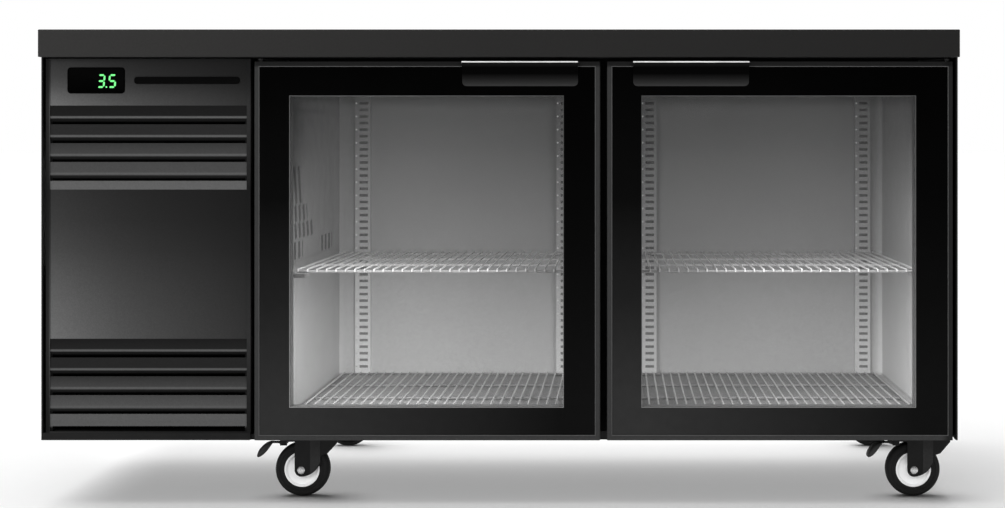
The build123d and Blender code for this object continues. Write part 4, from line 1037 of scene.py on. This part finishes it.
def castor_fork(name, wheel_centre, axis_x):
    """Two legs with a painted highlight strip along their bend, the crown and its bearing, the axle and the
    pedal's pin.
    """
    centre_x, axis_y, axle_z = wheel_centre
    fork = Shape()
    outline = [(axis_x + a, b) for a, b in scaled(leg_outline())]
    for low, high in ((-LEG_OUTSIDE, -LEG_INSIDE), (LEG_INSIDE, LEG_OUTSIDE)):
        fork.prism(outline, axis_y + low * MM, axis_y + high * MM, "Y")
    crown_x = (axis_x - LEG_BACK * MM, axis_x + CROWN_FRONT * MM)
    crown_y = (axis_y - LEG_INSIDE * MM, axis_y + LEG_INSIDE * MM)
    fork.box(crown_x, crown_y, (106.0 * MM, CROWN_TOP * MM))
    fork.lathe(scaled(RACE), (axis_x, axis_y, 0), "Z", 48)
    # thin plates of painted highlight on the outside of each leg
    bend = [(axis_x + a, b) for a, b in scaled(BEND_HIGHLIGHT)]
    bend_outside = LEG_OUTSIDE + BEND_THICKNESS
    for low, high in ((-bend_outside, -LEG_OUTSIDE), (LEG_OUTSIDE, bend_outside)):
        fork.prism(bend, axis_y + low * MM, axis_y + high * MM, "Y", 1)
    fork.lathe(scaled(AXLE), wheel_centre, "Y", 24, 2)
    fork.lathe(scaled(AXLE_HEAD), wheel_centre, "Y", 32, 2)
    nut = circle((centre_x, axle_z), NUT_RADIUS * MM, 6)
    nut_y = (axis_y + LEG_OUTSIDE * MM, axis_y + (LEG_OUTSIDE + NUT_DEPTH) * MM)
    fork.prism(nut, *nut_y, "Y", 2)
    pivot = (axis_x + PEDAL_PIVOT[0] * MM, axis_y, PEDAL_PIVOT[1] * MM)
    fork.lathe(scaled(PEDAL_PIN), pivot, "Y", 20)
    fork.build(f"{name}_fork_frame", f"{name}_castor",
               [MATERIALS["castor_black"], fork_bend_highlight, axle_silver],
               [f"{name}_fork"], bevel=0.4 * MM)


def brake_pedal(name, pivot):
    """Thin arm with a thick rounded paddle that slopes down and out."""
    pedal = Shape()
    arm = [(pivot.x + a, pivot.z + b) for a, b in scaled(PEDAL_ARM)]
    pedal.prism(arm, pivot.y - PEDAL_ARM_HALF * MM, pivot.y + PEDAL_ARM_HALF * MM, "Y")
    steps = 20
    rings = []
    for a, b, wide, thick in PEDAL_LEAF:
        ring = []
        for step in range(steps):
            turn = 2 * pi * step / steps
            off_y = wide * signed_power(cos(turn), 0.5)
            off_n = thick * signed_power(sin(turn), 0.7)
            across, up = a + off_n * 0.8, b - off_n * 0.6
            ring.append((pivot.x + across * MM, pivot.y + off_y * MM, pivot.z + up * MM))
        rings.append(ring)
    pedal.loft(rings)
    pedal.lathe(scaled(PEDAL_BOSS), pivot, "Y", 24)
    pedal.build(f"{name}_pedal_lever", f"{name}_brake", MATERIALS["pedal_plastic"],
                [f"{name}_brake_pedal"], bevel=0.3 * MM, sharp=45.0)


def castor(side, end):
    name = f"{side}_{end}"
    wheel = f"{name}_wheel"
    centre = Vector([middle(limits(f"{name}_tyre", axis)) for axis in "XYZ"])
    tyre = Shape()
    tyre.lathe(scaled(TYRE_HALF + TYRE_GROOVE + mirrored(TYRE_HALF)), centre, "Y", 96)
    tyre.build(f"{name}_tyre_ring", wheel, MATERIALS["tyre_rubber"],
               [f"{name}_tyre"], sharp=50.0)
    hub = Shape()
    hub.lathe(scaled(HUB_HALF + mirrored(HUB_HALF)), centre, "Y", 72)
    hub.build(f"{name}_hub_wheel", wheel, MATERIALS["hub_nylon"],
              [f"{name}_hub"], sharp=40.0)
    axis_x = centre.x + TRAIL * MM
    castor_fork(name, centre, axis_x)
    if end == "front":
        pivot = Vector((axis_x + PEDAL_PIVOT[0] * MM, centre.y, PEDAL_PIVOT[1] * MM))
        brake_pedal(name, pivot)


for side in SIDES:
    for end in ENDS:
        castor(side, end)


# ---------------------------------------------------------------------------------------------
# Studio: floor, world, lights and camera
# ---------------------------------------------------------------------------------------------

floor_mesh = bpy.data.meshes.new("floor")
reach = 400.0
floor_corners = rectangle((-reach, reach), (-reach, reach), 0)
floor_mesh.from_pydata([(x, y, 0) for x, _, y in floor_corners], [], [(0, 1, 2, 3)])
floor = bpy.data.objects.new("floor", floor_mesh)
bpy.context.scene.collection.objects.link(floor)
floor.location.z = -0.0002
pale = Finish("floor_pale", Specular_IOR_Level=0.05)
pale.speckled(grey(249), 40.0, 0.004)
pale.worn(0.6, 0.7)
floor_mesh.materials.append(pale.material)

world = bpy.data.worlds.new("studio")
bpy.context.scene.world = world
world.use_nodes = True
tree = world.node_tree
tree.nodes.clear()
output = tree.nodes.new("ShaderNodeOutputWorld")
blend = tree.nodes.new("ShaderNodeMixShader")
path = tree.nodes.new("ShaderNodeLightPath")
for index, (level, strength) in enumerate(((0.8, 0.26), (1.0, 1.0))):
    shade = tree.nodes.new("ShaderNodeBackground")
    shade.inputs["Color"].default_value = (level, level, level, 1)
    shade.inputs["Strength"].default_value = strength
    tree.links.new(shade.outputs[0], blend.inputs[1 + index])
tree.links.new(path.outputs["Is Camera Ray"], blend.inputs[0])
tree.links.new(blend.outputs[0], output.inputs["Surface"])


def group(name, members, state="INCLUDE"):
    """Collection of the objects that a lamp lights, or leaves out."""
    made = bpy.data.collections.new(name)
    for member in members:
        made.objects.link(member)
    for entry in made.collection_objects:
        entry.light_linking.link_state = state
    return made


castor_bodies = ("_castor", "_wheel", "_brake")
castor_pieces = [o for o in bpy.context.scene.objects
                 if o.type == "MESH" and o.parent and o.parent.name.endswith(castor_bodies)]
floor_only = group("floor_only", [floor])
all_but_floor = group("all_but_floor", [floor], "EXCLUDE")
castors_only = group("castors_only", castor_pieces)


def lamp(name, kind, place_at, look_at, lights, glossy=True, **settings):
    """Lamp that lights one collection, hidden from the camera."""
    data = bpy.data.lights.new(name, kind)
    for key, value in settings.items():
        setattr(data, key, value)
    made = bpy.data.objects.new(name, data)
    bpy.context.scene.collection.objects.link(made)
    made.location = place_at
    made.rotation_euler = (Vector(look_at) - Vector(place_at)).to_track_quat("-Z", "Y").to_euler()
    made.visible_camera = False
    made.visible_glossy = glossy
    made.light_linking.receiver_collection = lights
    return made


def area(name, place_at, look_at, size, power, glossy=True):
    """Rectangular lamp that lights everything but the floor."""
    lamp(name, "AREA", place_at, look_at, all_but_floor, glossy,
         shape="RECTANGLE", size=size[0], size_y=size[1], energy=power)


area("key", (-2.4, -4.6, 2.6), (0, -0.3, 0.4), (3.6, 2.2), 140, False)
area("fill", (2.8, -4.6, 2.4), (0, -0.3, 0.4), (3.0, 2.0), 80, False)
area("sheen", (-3.2, -3.4, 0.6), (-0.4, -0.35, 0.3), (2.4, 1.6), 8)
area("top", (0, 0, 4.6), (0, 0, 0), (5.0, 4.0), 110)
area("back", (0.5, 4.2, 2.4), (0, 0, 0.4), (4.0, 2.5), 110)
# Lamps just inside the doors: where each pair stands, and the power of its lower lamp
INNER_LAMPS = ((-0.22, 1.2), (0.62, 0.9))
inner_y, inner_target_y = -0.262, 0.3
for x, low_power in INNER_LAMPS:
    area("upper_window", (x, inner_y, 0.50), (x, inner_target_y, 0.47), (0.46, 0.12), 0.9, False)
    area("lower_window", (x, inner_y, 0.30), (x, inner_target_y, 0.2), (0.42, 0.2), low_power, False)
lamp("under_glow", "AREA", (0, 0.22, 0.112), (0, 0.22, 0), floor_only, False,
     shape="RECTANGLE", size=1.66, size_y=0.26, energy=1.1)
sun = (-1.5, 1.2, 5)
lamp("sky", "SUN", sun, (0, 0, 0), floor_only, False, energy=1.8, angle=radians(70))
open_sky = lamp("open_sky", "SUN", sun, (0, 0, 0), floor_only, False, energy=1.3, angle=radians(50))
open_sky.light_linking.blocker_collection = castors_only

camera_data = bpy.data.cameras.new("camera")
camera = bpy.data.objects.new("camera", camera_data)
bpy.context.scene.collection.objects.link(camera)
camera.location = (0.221, cad_low.y - 2.901, 0.650)
camera.rotation_euler = (radians(90), 0, 0)
camera_data.lens = 57.0
camera_data.sensor_width = 36.0
camera_data.shift_x = -0.117
camera_data.shift_y = -0.1035
bpy.context.scene.camera = camera
bpy.context.scene.view_settings.view_transform = "Standard"
